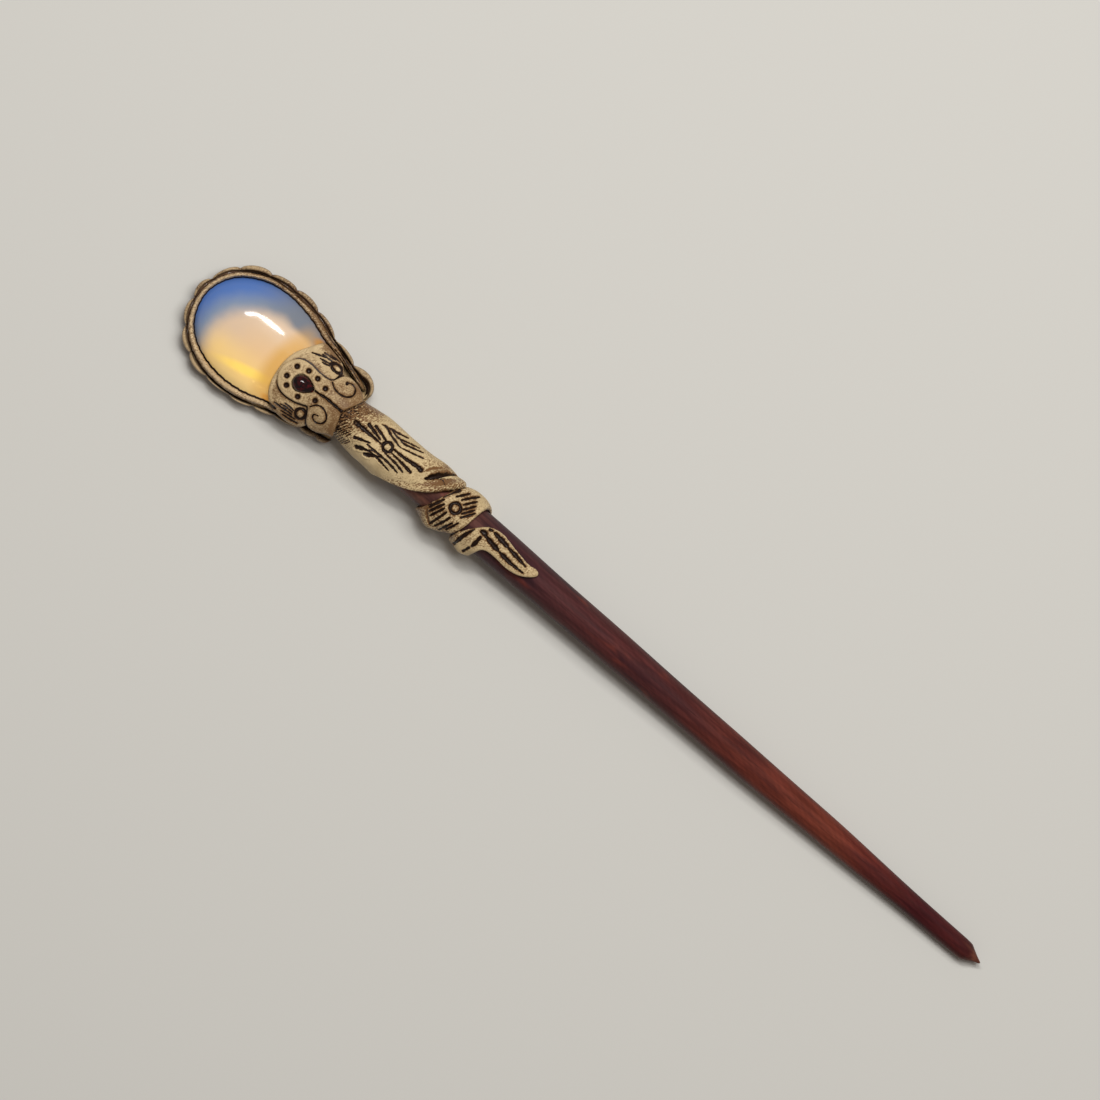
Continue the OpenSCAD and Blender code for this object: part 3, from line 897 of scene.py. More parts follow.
def make_stick():
    stations = np.linspace(0, SHOULDER_L - 1.2 * MM, 150)
    radii = np.convolve(np.pad(wood_r(stations), 6, "edge"), np.ones(13) / 13, "valid")
    outline = [(0, -TENON_L), (TENON_R, -TENON_L), (TENON_R, -TENON_STEP), (NECK_R, -TENON_STEP)]
    outline += list(zip(radii, stations))
    outline += [(r, SHOULDER_L + l) for r, l in POINT_OUTLINE]
    line = [(r, 0, l) for r, l in outline]
    stick = new_piece("stick", line, [(i, i + 1) for i in range(len(line) - 1)], [])
    spin_round(stick, 96, 1e-6)
    face_outwards(stick)
    points = read(stick.data)
    l, r = points[:, 2], np.hypot(points[:, 0], points[:, 1])
    turn = np.arctan2(points[:, 1], points[:, 0])
    # whittled by hand: a few long flats, and a waist here and there
    carve = 0.010 * np.sin(3 * turn + l * 38) + 0.007 * np.sin(2 * turn - l * 90 + 1)
    carve += 0.007 * np.sin(l * 210)
    carve *= rise(l, 20 * MM, 30 * MM) * rise(SHOULDER_L - l, 0, 10 * MM)
    points = round_wood(l, r * (0.994 + carve), turn)
    sway = rise(l, SWAY_FROM, SWAY_L)
    points[:, 1] += SWAY * sway**2 * (3 - 2 * sway)
    reshape(stick, points)
    smooth(stick)
    dress(stick, wood, "wood", "shaft")


make_stick()


# The oval stone: the upper half of a ball, drawn down to a straight edge and closed by a flat back


def make_stone():
    stone = half_ball("opal_stone", 128, 64, [(1, 1), (0.35, 0.97)])
    x, y, z = read(stone.data).T
    foot = np.where(z > -1.1, stone_low[2] + 0.25 * STONE_EDGE, stone_low[2])
    height = np.where(z > -1e-4, GIRDLE_Z + z * DOME_T, foot)
    reshape(stone, np.column_stack([STONE_X + x * STONE_A, STONE_Y + y * STONE_B, height]))
    pick(stone)
    bpy.ops.object.shade_smooth_by_angle(angle=radians(40))
    dress(stone, opal, "opal_glass", "stone")


make_stone()


# The strip that holds the stone's edge: middle line and width, in pixels
STRIP = [
    (-840, 30.8, 4.0), (-850, 33.8, 5.0), (-866, 38.0, 5.4), (-885, 42.6, 6.0), (-902, 46.4, 6.4),
    (-915, 50.5, 6.4), (-925, 53.4, 6.2), (-940, 55.6, 5.2), (-955, 56.6, 4.6), (-970, 55.6, 4.5),
    (-985, 52.3, 4.5), (-999.4, 45.6, 4.7), (-1011.6, 36.8, 4.9), (-1020.5, 24.8, 5.0),
    (-1025.9, 10.7, 5.0), (-1026.9, -2, 5.0), (-1024.1, -16, 5.2), (-1017.8, -29.4, 5.6),
    (-1008.6, -39.6, 6.0), (-996.4, -47.6, 6.5), (-982.2, -53, 6.8), (-968, -55.8, 6.8),
    (-952, -56.4, 6.7), (-936, -54.4, 6.5), (-922, -50.4, 6.0), (-911, -46.2, 5.6), (-901, -43.2, 5.2),
    (-890, -41.4, 4.6),
]
# Its height over the base, how much more it rises beside the cap (mm), and how long its rounded ends are
STRIP_H = 2.35 * MM
STRIP_RISES = [(0, 0.9), (0.12, 0.75), (0.25, 0), (1, 0)]
STRIP_ROUND = 1.1 * MM
# How far the thin lip of painted shade, a contact shadow, reaches in over the stone (mm), and how brown its
# arm beside the cap is rubbed
STRIP_SHADE_LIP = [(0, 0.24), (0.3, 0.20), (0.5, 0.16), (0.68, 0.18), (0.8, 0.34), (1, 0.34)]
ARM_RUB = [(0, 0.55), (0.16, 0.45), (0.27, 0.2), (0.38, 0.3), (0.46, 0.05), (1, 0)]
STRIP_MARKS = [
    # ribs on the outer slope of the strip, along the stone's far side
    ([(-986, 55.6), (-976, 58.2), (-966, 59.4), (-954, 60.0), (-942, 59.4), (-932, 57.6)], 1.1, 0.16, 0.75),
    ([(-978, 56.6), (-966, 57.9), (-954, 58.4), (-944, 57.9)], 0.9, 0.12, 0.6),
    # and along its arm beside the cap
    ([(-908, 50.6), (-898, 47.4), (-886, 45.4), (-874, 42.4), (-862, 38.6), (-850, 34.8)], 1.1, 0.18, 0.85),
    ([(-890, 42.4), (-880, 41.0), (-868, 37.2), (-856, 33.4)], 1.1, 0.18, 0.85),
    ([(-884, 44.4), (-874, 41.2), (-864, 37.8)], 0.9, 0.12, 0.7),
]


def edge_line(stations, gap):
    """Stations along a strip, evenly spaced, with the direction out from the stone and the way along it"""
    line, way = even_steps(curve_through(stations, 8), gap)
    t = np.gradient(line[:, :2], axis=0)
    t /= np.linalg.norm(t, axis=1)[:, None]
    return line, np.column_stack([t[:, 1], -t[:, 0]]), way


def strip_stations():
    table = np.array(STRIP)
    return np.column_stack([places(table[:, :2]), table[:, 2] * PIXEL / 2])


def on_ledge(spot):
    """Height of what lies under the strip: the stone, or the base outside it"""
    return max(BASE_T, dome_z(*spot))


def strip_ring(middle, out, width, top, ease, lip, angles):
    """One closed section of the strip: its crown, a thin lip of painted shade in the corner at the stone, its
    foot
    """
    ring = []
    for a in angles:
        offset = width * np.sign(cos(a)) * abs(cos(a)) ** 0.75
        spot = middle + out * offset
        foot = on_ledge(spot) + 0.03 * MM
        crown = max(top - 0.2 * MM * offset**2 / width**2, foot + 0.35 * MM)
        ring.append((*spot, foot + (crown - foot) * ease * max(sin(a), 0) ** 0.5))
    for reach, height in ((0, 0.16 * MM), (lip, 0.14 * MM), (lip, 0.02 * MM)):
        spot = middle - out * (width + reach)
        ring.append((*spot, on_ledge(spot) + height * ease))
    for part in (-0.5, 0.1, 0.6):
        spot = middle + out * width * part
        ring.append((*spot, on_ledge(spot) + 0.02 * MM))
    return ring


def make_strip():
    line, out, way = edge_line(strip_stations(), 0.13 * MM)
    share = way / way[-1]
    mm = way / MM
    angles = np.linspace(0, pi, 21)
    ease = round_ends(way, STRIP_ROUND, 0.02)
    wave = 0.06 * np.sin(mm * 2.1) + 0.05 * np.sin(mm * 5.3 + 1)
    top = BASE_T + STRIP_H + (wave + on_the_way(share, STRIP_RISES)) * MM
    width = line[:, 2] * ease * (1 + 0.06 * np.sin(mm * 3.3 + 2) + 0.04 * np.sin(mm * 7.1))
    lip = on_the_way(share, STRIP_SHADE_LIP) * MM
    rings = [
        strip_ring(line[i, :2], out[i], width[i], top[i], ease[i], lip[i], angles) for i in range(len(line))
    ]
    strip = from_rings("stone_strip", rings)
    foot = len(rings[0]) - len(angles)
    crown = np.tile([*np.sin(angles), *[0] * foot], len(rings))
    side = np.tile([*np.cos(angles), *[-1] * foot], len(rings))
    # dark at both feet: painted shade in the corner at the stone and at the foot of its outer slope
    inner = np.clip(1.35 - crown * 2.1, 0, 1) * (side < 0)
    outer = np.clip(0.8 - crown * 2.0, 0, 1) * (side >= 0)
    keep(strip, "ink_and_shade", inner + outer)
    # browner on its arm beside the cap and on its outer slope
    arm = np.repeat(on_the_way(share, ARM_RUB), len(rings[0])) * (0.6 + 0.8 * (side > 0))
    slope = np.clip((side - 0.1) * 0.7, 0, 0.6)
    keep(strip, "brown_wash_and_shade", np.clip(0.7 - crown * 0.75, 0, 1) + arm + slope - 0.12)
    keep(strip, "cloth", 0.55 * np.clip(crown * 1.3 - 0.3, 0, 1))
    press(strip, STRIP_MARKS)
    smooth(strip)
    dress(strip, strip_clay, "clay", "bezel")


make_strip()

# The ruffled ribbon of clay round the head. Its outer edge is read at the notches between its scallops, with
# how far each scallop swells beyond a straight line, in pixels; its curled end has points of its own.
CURL = [
    (-835.6, 21.2), (-833.4, 25), (-832.6, 30), (-834, 36), (-838.4, 41.4), (-845.4, 45), (-853, 45.8),
    (-860, 44.6),
]
NOTCHES = [
    (-865.4, 43.2, 3.2), (-896.5, 49.2, 3.8), (-927.5, 60.6, 3.4), (-957.5, 63.2, 2.8),
    (-986.5, 58.6, 4.6), (-1015.2, 42.6, 3.6), (-1029.6, 15.4, 5.2), (-1030.6, -10.4, 4.8),
    (-1019.0, -36.4, 4.6), (-998.2, -54.8, 3.8), (-970.4, -61.8, 1.6), (-941, -60.4, 2.6),
    (-915, -53.6, 1.8), (-893, -46.6, 1.4), (-866, -39.6, 1.2), (-848, -36.4, 1.8), (-833, -32, 0),
]
# Where the ruffle leaves the strip at both ends, its inner edge
HEM_START = [(-836.6, 23.4), (-838.0, 28.6), (-841.4, 33.4), (-846.0, 35.8)]
HEM_END = [(-880, -41.4), (-866, -35.4), (-852, -32.2), (-840, -30), (-834, -28.4)]
# Section of the ruffle: place across it (0 inner edge, 1 floor of the groove, 2 its bank, 3 outer edge) and
# height in mm
RUFFLE_SECTION = [
    (0.05, 0.25), (0.05, 1.6), (0.10, 2.9), (0.35, 2.55), (0.75, 2.30), (1.15, 2.35), (1.50, 2.80),
    (1.75, 3.35), (1.95, 3.72), (2.10, 3.90), (2.32, 4.00), (2.60, 4.00), (2.80, 3.90), (2.93, 3.62),
    (3.00, 3.20), (3.00, 2.75), (2.93, 2.25), (2.80, 1.75), (2.64, 1.20), (2.50, 0.70), (2.42, 0.30),
    (2.30, 0.10), (1.40, 0.05), (0.40, 0.05),
]


def ruffle_outline():
    """Outer edge of the ruffle seen from above, and how far up its scallop each point lies (0 to 1)"""
    line = list(curve_through(places(CURL + [NOTCHES[0][:2]]), 6)[:-1])
    n = len(line)
    swell = list(np.interp(np.arange(n), [0, n * 0.3, n * 0.8, n], [0.3, 1, 1, 0]))
    stops = places([notch[:2] for notch in NOTCHES])
    for k in range(len(stops) - 1):
        way = stops[k + 1] - stops[k]
        out = np.array([way[1], -way[0]]) / np.linalg.norm(way)
        for t in np.arange(16) / 16:
            lift = sin(pi * t**0.92) ** 0.75
            line.append(stops[k] + way * t + out * NOTCHES[k][2] * PIXEL * lift)
            swell.append(lift)
    return np.array(line + [stops[-1]]), np.array(swell + [0])


def reach_outwards(starts, ways, outline, values):
    """For each start, how far the outline lies along its way, and the outline's value there"""
    far, found = np.full(len(starts), np.nan), np.full(len(starts), np.nan)
    steps = outline[1:] - outline[:-1]
    for i in range(len(starts)):
        p, n = starts[i], ways[i]
        gap = outline[:-1] - p
        cross = n[0] * steps[:, 1] - n[1] * steps[:, 0]
        cross[np.abs(cross) < 1e-15] = 1e-15
        along = (gap[:, 0] * steps[:, 1] - gap[:, 1] * steps[:, 0]) / cross
        share = (gap[:, 0] * n[1] - gap[:, 1] * n[0]) / cross
        hits = np.flatnonzero((share >= 0) & (share <= 1) & (along > -0.2 * MM) & (along < 4 * MM))
        if len(hits):
            k = hits[np.argmin(along[hits])]
            far[i], found[i] = along[k], values[k] + (values[k + 1] - values[k]) * share[k]
    good, index = ~np.isnan(far), np.arange(len(starts))
    return np.interp(index, index[good], far[good]), np.interp(index, index[good], found[good])


# Round the ruffle, as shares of its length: how much ink and painted shade its groove holds, and how brown it
# is rubbed
GROOVE_INK_AND_SHADE = [
    (0, 1), (0.10, 0.9), (0.165, 0.4), (0.23, 0.2), (0.295, 0.25), (0.37, 0.95), (0.44, 0.2), (0.50, 0.25),
    (0.56, 0.12), (0.62, 0.15), (0.68, 0.3), (0.74, 0.9), (1, 1),
]
RUFFLE_RUB = [
    (0, 0), (0.12, 0), (0.18, 0.35), (0.30, 0.35), (0.36, 0.05), (0.46, 0.08), (0.50, 0.28), (0.56, 0.18),
    (0.62, -0.12), (0.70, -0.05), (0.78, 0), (1, 0),
]
# Its height as a share of the section's, and how much wider its groove is near the curl, in mm
RUFFLE_HEIGHT = [
    (0, 1.28), (0.04, 1.28), (0.1, 1.2), (0.3, 1.06), (0.7, 1.0), (0.86, 0.86), (0.93, 0.72), (1, 0.72),
]
GROOVE_SHIFT = [(0, 0.45), (0.03, 0.45), (0.055, -0.12), (0.11, -0.12), (0.15, 0)]
# The groove is up to this much shallower where it holds little ink and painted shade
GROOVE_FILL = 0.9 * MM
# How far the ruffle reaches beyond its outline, how far it is drawn in at a notch, its least width, and how
# long its rounded ends are
RUFFLE_OVER = 0.8 * PIXEL
NOTCH_IN = 1.2 * PIXEL
RUFFLE_LEAST = 0.5 * MM
RUFFLE_ROUND = 1.2 * MM


def ruffle_hem():
    """The ruffle's inner edge along the strip and past its ends, with the ways out from it"""
    line, out, way = edge_line(strip_stations(), 0.5 * MM)
    beside = (line[:, :2] + out * line[:, 2:3])[(way > 2.4 * MM) & (way < way[-1] - 1.5 * MM)]
    hem, out, way = edge_line(np.vstack([places(HEM_START), beside, places(HEM_END)]), 0.12 * MM)
    for _ in range(6):
        out[1:-1] = (out[:-2] + 2 * out[1:-1] + out[2:]) / 4
    return hem, out / np.linalg.norm(out, axis=1)[:, None], way


def make_ruffle():
    hem, out, way = ruffle_hem()
    width, lift = reach_outwards(hem, out, *ruffle_outline())
    width = np.convolve(np.pad(width, 2, "edge"), np.ones(5) / 5, "valid") + RUFFLE_OVER
    width = np.clip(width - NOTCH_IN * (1 - lift) ** 3, RUFFLE_LEAST, None)
    section = np.array(RUFFLE_SECTION)
    fine = np.arange(0, len(section) - 0.4, 0.55)
    section = np.column_stack([np.interp(fine, np.arange(len(section)), section[:, k]) for k in (0, 1)])
    share = way / way[-1]
    mm = way / MM
    filled = on_the_way(share, GROOVE_INK_AND_SHADE)
    ease = round_ends(way, RUFFLE_ROUND, 0.03)
    groove = np.minimum(0.18 + 0.20 * lift + on_the_way(share, GROOVE_SHIFT), 0.45 * width / MM) * MM
    bank = groove + 0.22 * (width - groove)
    tall = (0.76 + 0.24 * lift) * on_the_way(share, RUFFLE_HEIGHT)
    ripple = 0.05 * MM * np.sin(mm * 5.1 + 2 * np.sin(mm * 0.9))
    rings = []
    for i in range(len(hem)):
        ring = []
        for f, z in section:
            across = np.interp(f, [0, 1, 2, 3], [0.02 * MM, 0.7 * groove[i], bank[i], width[i]]) * ease[i]
            height = z * MM
            if z > 1.5:
                height = height * tall[i] + (ripple[i] if f > 1.7 else 0)
                height += GROOVE_FILL * (1 - filled[i]) * sin(pi * f / 1.75) if f < 1.75 else 0
            spot = hem[i, :2] + out[i] * across
            ring.append((*spot, max(height, 0.02 * MM) * (0.6 + 0.4 * ease[i])))
        rings.append(ring)
    ruffle = from_rings("ruffle", rings)
    finish_modifier(ruffle, "SMOOTH", factor=0.4, iterations=2)

    m = len(section)
    f, z = np.tile(section[:, 0], len(rings)), np.tile(section[:, 1], len(rings))
    notch = 1 - np.repeat(lift, m)
    hollow = np.clip((1.25 - f) / 0.5, 0, 1) * (z > 1)
    # the groove is dark with ink and painted shade, and the crest darkens at the notches: painted shade in
    # the creases
    ink_and_shade = hollow * np.repeat(filled, m) + 0.45 * notch**5 * (f > 1.5) * (z > 2.5)
    keep(ruffle, "ink_and_shade", np.clip(ink_and_shade, 0, 1))
    crest = hump(f, 2.5, 0.45) * (z > 3)
    # browner at both ends: painted shade where they go under the cap
    around = on_the_way(share, RUFFLE_RUB) + 0.5 * rise(share, 0.93, 0.05)
    around += 0.175 * rise(-share, -0.15, 0.05)
    wash = 0.5 * hollow + 0.35 * notch**3 + 0.5 * (z < 2.4) - 0.34 * crest + np.repeat(around, m)
    keep(ruffle, "brown_wash_and_shade", np.clip(wash + 0.35 * np.clip(1.9 - f, 0, 1) * (z > 2), -0.4, 1.2))
    keep(ruffle, "cloth", 0.5 * crest)
    smooth(ruffle)
    dress(ruffle, rim_clay, "clay", "edging")


make_ruffle()


def mm_outline(points, steps=6):
    """Closed outline in pixels as a smooth one in millimetres, for the workbench"""
    return curve_through(places(points) / MM, steps, closed=True)


# The cap over the stone's lower end: a plate with two lobes, draped over the stone and the wood. Thickness,
# rounding of its edge and grain of its net in mm, and how deep its rounded rim reaches once it is draped
CAP_THICK = 2.6
CAP_ROUND = 0.45
CAP_GRAIN = 0.11
CAP_ROLL = 0.6 * MM
# The gaps left under it, and how far out from the stone's oval it still lies on the stone
CAP_OVER_STONE = 0.06 * MM
CAP_OVER_BASE = 0.05 * MM
CAP_ROUND_STONE = 0.1 * MM
CAP_EDGE = [
    (-902, 41), (-906, 35), (-911, 27), (-917, 16), (-920, 3), (-919.5, -10), (-917, -23), (-912, -33),
    (-905, -40), (-897, -43), (-886.5, -44), (-876, -43), (-867, -39.5), (-862.5, -34.6), (-860, -29),
    (-850, -28), (-846.5, -24), (-846.5, 0), (-846.5, 22), (-852, 26), (-863, 27.5), (-866.5, 30),
    (-871, 34.5), (-877, 37.5), (-886, 39.5), (-895, 41),
]
UPPER_EYE = [
    (-881.6, 30), (-879.8, 32.6), (-875.6, 33.8), (-871.4, 32.8), (-869.2, 30.2), (-870.6, 27.4),
    (-875, 26.4), (-879.6, 27.4), (-881.6, 30),
]


def ring_mark(middle_u, middle_v, radius):
    """The line of a ring-shaped mark, in pixels"""
    return [(middle_u + radius * cos(a), middle_v + radius * sin(a)) for a in np.linspace(0, 2 * pi, 14)]


CAP_MARKS = [
    # rings of the eyes
    (UPPER_EYE, 2.3, 0.38, 1.0),
    ([(-883, 28.8), (-881.8, 31.4), (-879.6, 33.4)], 2.6, 0.34, 1.0),
    (ring_mark(-873.4, -28.7, 5.2), 2.3, 0.38, 1.0),
    # feathers beside the upper eye
    ([(-904.5, 25.6), (-898, 28.2), (-891, 31.0)], 1.5, 0.28, 1.0),
    ([(-894.5, 26.5), (-890, 27.4), (-885, 28.6)], 1.5, 0.26, 1.0),
    ([(-890.5, 25), (-886.5, 25.8), (-882.5, 26.8)], 1.4, 0.24, 0.95),
    ([(-895.6, 31.4), (-890, 31.6), (-884, 32)], 1.4, 0.26, 0.95),
    ([(-895, 33.8), (-888, 34.6), (-882, 35.4)], 1.4, 0.26, 0.95),
    ([(-889, 36.2), (-883, 36.8), (-877, 36.6)], 1.2, 0.20, 0.8),
    # feathers beside the lower eye
    ([(-892.2, -30.6), (-886, -30.3), (-880.4, -30.6)], 1.5, 0.26, 1.0),
    ([(-894.6, -34), (-888, -33), (-881, -32.8)], 1.5, 0.28, 1.0),
    ([(-900.6, -36.8), (-893, -36.4), (-886, -35.4), (-880, -35)], 1.7, 0.30, 1.0),
    ([(-890.4, -38.9), (-884, -37.8), (-874, -36.4)], 1.4, 0.25, 0.95),
    ([(-886.4, -40.8), (-878, -39.8), (-870, -38)], 1.7, 0.28, 1.0),
    ([(-906, -40.8), (-901, -41.3), (-896, -41.2)], 2.0, 0.30, 1.0),
    # the upper lobe's edge beside the scroll
    ([(-868.4, 32), (-867.6, 26), (-868.6, 20)], 2.4, 0.42, 1.0),
]
# Where it swells: the two lobes beside the pad, and a bulb in each eye. Middles and reaches are in pixels,
# heights in mm.
CAP_SWELLS = [
    (-886, 29, 17, 8, 0.42),
    (-884, -34, 18, 8, 0.42),
    (-873.8, 30, 4.2, 3.0, 0.3),
    (-873.5, -28.6, 3.4, 3.4, 0.3),
]
# Where it is browner or paler: a painted shadow under the strip's arm, pale on the bulbs
CAP_SHADE_AND_RUBS = [
    (-888, 41, 16, 5, 1.1),
    (-873.8, 29.9, 3.4, 2.6, -0.75),
    (-873.8, -28.7, 3.4, 2.6, -0.4),
]
# The eyes are rubbed darker round their bulbs: middle, how flat, how dark
EYES = [(-876, 30, 1.6, 0.55), (-873.5, -28.5, 1.0, 0.5)]
EYE_REACH = 7
# The print of cloth is strongest along the upper lobe
CLOTH_V = 22
# The painted shade round the pad's arch fades on the stone's side of this place
ARCH_FADES = -915


def drape(piece, thick, top, foot, roll):
    """A flat plate laid over a form: its top follows one surface and its underside another"""
    points = read(piece.data)
    x, y = points[:, 0] * MM, points[:, 1] * MM
    high = top(x, y)
    body = np.maximum(high - foot(x, y), 0.05 * MM)
    depth = (thick - points[:, 2]) * MM
    near = np.minimum(roll, 0.45 * body)
    deep = near + (depth - near) / np.maximum(thick * MM - near, 1e-9) * (body - near)
    reshape(piece, np.column_stack([x, y, high - np.where(depth < near, depth, deep)]))
    return depth / MM


def cap_top(x, y):
    return cap_z(x, y) + patches(*pixels(x, y), CAP_SWELLS) * MM


def cap_foot(x, y):
    """The cap's underside lies on the stone, and beside it on the base"""
    reach_x, reach_y = STONE_A + CAP_ROUND_STONE, STONE_B + CAP_ROUND_STONE
    inside = ((x - STONE_X) / reach_x) ** 2 + ((y - STONE_Y) / reach_y) ** 2 < 1
    return np.where(inside, dome_z(x, y) + CAP_OVER_STONE, BASE_T + CAP_OVER_BASE)


def make_cap():
    cap = cut_sheet("cap_clay", [[mm_outline(CAP_EDGE)]], CAP_THICK, CAP_ROUND, CAP_GRAIN)
    depth = drape(cap, CAP_THICK, cap_top, cap_foot, CAP_ROLL)
    # dark low on its sides: painted shade at its foot
    keep(cap, "ink_and_shade", 0.75 * rise(depth, 1.0, 0.7))
    press(cap, CAP_MARKS)
    points = read(cap.data)
    u, v = pixels(points[:, 0], points[:, 1])
    # painted shade along the foot of the pad that lies on the cap
    pad_edge = curve_through(places(PAD_EDGE + PAD_EDGE[:1]), 4)
    beside_pad = nearest_on(points[:, :2], pad_edge)[0] / PIXEL
    darkened = np.clip(1.3 - beside_pad / 1.9, 0, 1) * (0.25 + 0.75 * rise(u, ARCH_FADES, 9))
    keep(cap, "ink_and_shade", np.maximum(kept(cap, "ink_and_shade"), darkened * (depth < 1)))
    brown_wash_and_shade = rub(cap, (30, 10, -0.45, 0.8), (14, 0.65))
    # browner down its sloping sides: painted shade
    brown_wash_and_shade += patches(u, v, CAP_SHADE_AND_RUBS) + 0.2 * rise(np.abs(v), 30, 12) + 0.6 * rise(depth, 0.4, 0.8)
    for eye_u, eye_v, flat, dark in EYES:
        brown_wash_and_shade += dark * np.clip(1.4 - np.hypot(u - eye_u, (v - eye_v) * flat) / EYE_REACH, 0, 1)
    brown_wash_and_shade += 0.22 * rise(-v, 22, 6) - 0.04 * rise(v, 0, 10)
    keep(cap, "brown_wash_and_shade", brown_wash_and_shade)
    keep(cap, "cloth", 0.3 * hump(v, CLOTH_V, 6) + 0.2)
    smooth(cap)
    dress(cap, cap_clay, "clay", "cap")


# The raised pad: an arch round the small stone, with two scrolls. In mm: its thickness, the rounding of its
# edge, the grain of its net, the gap under it, and how far it sinks round the small stone
PAD_THICK = 0.8
PAD_ROUND = 0.32
PAD_GRAIN = 0.085
PAD_GAP = 0.08
PAD_SINKS = 0.12
PAD_EDGE = [
    (-842.5, 0.6), (-841, 5), (-838.5, 10), (-836, 16), (-834.2, 22), (-838, 26), (-844, 29.3),
    (-852, 31.3), (-860, 31.2), (-865.5, 27.5), (-868.3, 21.5), (-871, 17), (-877, 15.3), (-885, 14.8),
    (-896, 15.8), (-905, 14.6), (-910.5, 11.8), (-914.2, 7.4), (-917, 1.6), (-917.8, -5),
    (-916.5, -12.4), (-911.6, -19.2), (-906, -22.8), (-897.6, -24.4), (-886.5, -23), (-878, -20),
    (-872.8, -18.2), (-868, -24), (-864.5, -30), (-860.5, -33), (-855, -33.4), (-848, -31.5),
    (-841, -27.5), (-834.5, -25), (-836, -20), (-838, -14), (-840.4, -7), (-842.3, -2.4),
]
GARNET_EDGE = [
    (-901.8, -5), (-900.6, 0), (-896.8, 3.4), (-891, 4.4), (-885, 3), (-880, 0.8), (-877.2, -1.6),
    (-878, -4.4), (-881.4, -8), (-886, -12), (-891, -14.2), (-896.5, -13.6), (-900.4, -10.4),
]
DOTS = [
    (-906.7, 5.4), (-894.8, 9.6), (-882.9, 9.6), (-870.6, 7.1), (-908.5, -8.5), (-902.5, -16),
    (-886.5, -17.3), (-870.6, -9),
]
PAD_MARKS = [
    # the slit between the scrolls
    (
        [
            (-878, -1.6, 0.5), (-871, -1.0, 0.8), (-863.5, 0.2, 1), (-852, 0.2, 1), (-841, 0.2, 1),
        ],
        2.2, 0.66, 1.0,
    ),
    # upper scroll
    (
        [
            (-869.5, 16.5), (-863.5, 13), (-856, 12.3), (-849, 14.6), (-845.2, 20), (-847.3, 26),
            (-852.7, 28), (-857.2, 26.6),
        ],
        1.45, 0.34, 0.95,
    ),
    ([(-857.9, 26.0), (-857.5, 24.6)], 2.6, 0.38, 1.0),
    # lower scroll
    (
        [
            (-870.5, -17), (-866.5, -11.4), (-860.4, -9.6), (-853.5, -12), (-849.6, -17), (-851, -22.4),
            (-856.5, -25.2), (-861.6, -23.6), (-862.5, -20.4), (-858.6, -18.6),
        ],
        1.45, 0.34, 0.95,
    ),
]
PAD_MARKS += [([dot], 4.4, 0.50, 1.0) for dot in DOTS]
# It swells under the scrolls, sinks and darkens round the small stone, and gets browner towards the neck,
# from each of these places on, over a length and by a strength
PAD_SWELLS = [(-853, 19, 12, 9, 0.24), (-853, -20, 12, 9, 0.24)]
PAD_SEAT = (-890, -5)
PAD_SHADE = (-890, -4)
PAD_BROWNS = [(-900, 30, 0.22), (-858, 20, 0.5)]
# A faint brown band crosses the scrolls here
SCROLLS_U = -860


def make_pad():
    outline = [mm_outline(PAD_EDGE, 5), mm_outline(GARNET_EDGE, 5)[::-1]]
    pad = cut_sheet("scrolls", [outline], PAD_THICK, PAD_ROUND, PAD_GRAIN)
    points = read(pad.data)
    x, y = points[:, 0] * MM, points[:, 1] * MM
    u, v = pixels(x, y)
    lift = points[:, 2] / PAD_THICK
    seat = -PAD_SINKS * np.exp(-((np.hypot((u - PAD_SEAT[0]) / 1.25, v - PAD_SEAT[1]) / 13) ** 4))
    height = PAD_GAP + points[:, 2] + (patches(u, v, PAD_SWELLS) + seat) * lift
    reshape(pad, np.column_stack([x, y, cap_z(x, y) + height * MM]))
    # dark low round its edge: painted shade at its foot
    keep(pad, "ink_and_shade", rise(np.clip(1 - lift, 0, 1), 0.25, 0.45) * (0.45 + 0.55 * rise(u, ARCH_FADES, 9)))
    press(pad, PAD_MARKS)
    brown_wash_and_shade = rub(pad, (25, 7, -0.16, 0.8), (20, 0.75)) - 0.2
    brown_wash_and_shade += 0.1 * hump(np.hypot(u - PAD_SHADE[0], v - PAD_SHADE[1]), 0, 22)
    brown_wash_and_shade += 0.1 * hump(u, SCROLLS_U, 16)
    for start, length, dark in PAD_BROWNS:
        brown_wash_and_shade += dark * rise(u, start, length)
    keep(pad, "brown_wash_and_shade", brown_wash_and_shade)
    keep(pad, "cloth", np.full(len(u), 0.10))
    smooth(pad)
    dress(pad, cap_clay, "clay", "scroll_pad")


make_cap()
make_pad()


# The small stone: its middle in pixels, its halves, dome and upright edge in mm, and how deep it sits
GARNET_MIDDLE = (-889.6, -5)
GARNET_HALF_L = 2.28
GARNET_HALF_W = 1.68
GARNET_DOME = 1.15
GARNET_EDGE_H = 0.75
GARNET_SUNK = 0.35 * MM
# How much narrower and how far to the +Y side its point is, and its lean as a share of the cap's slope
GARNET_TAPER = 0.42
GARNET_BEND = 0.42
GARNET_LEAN = 0.4


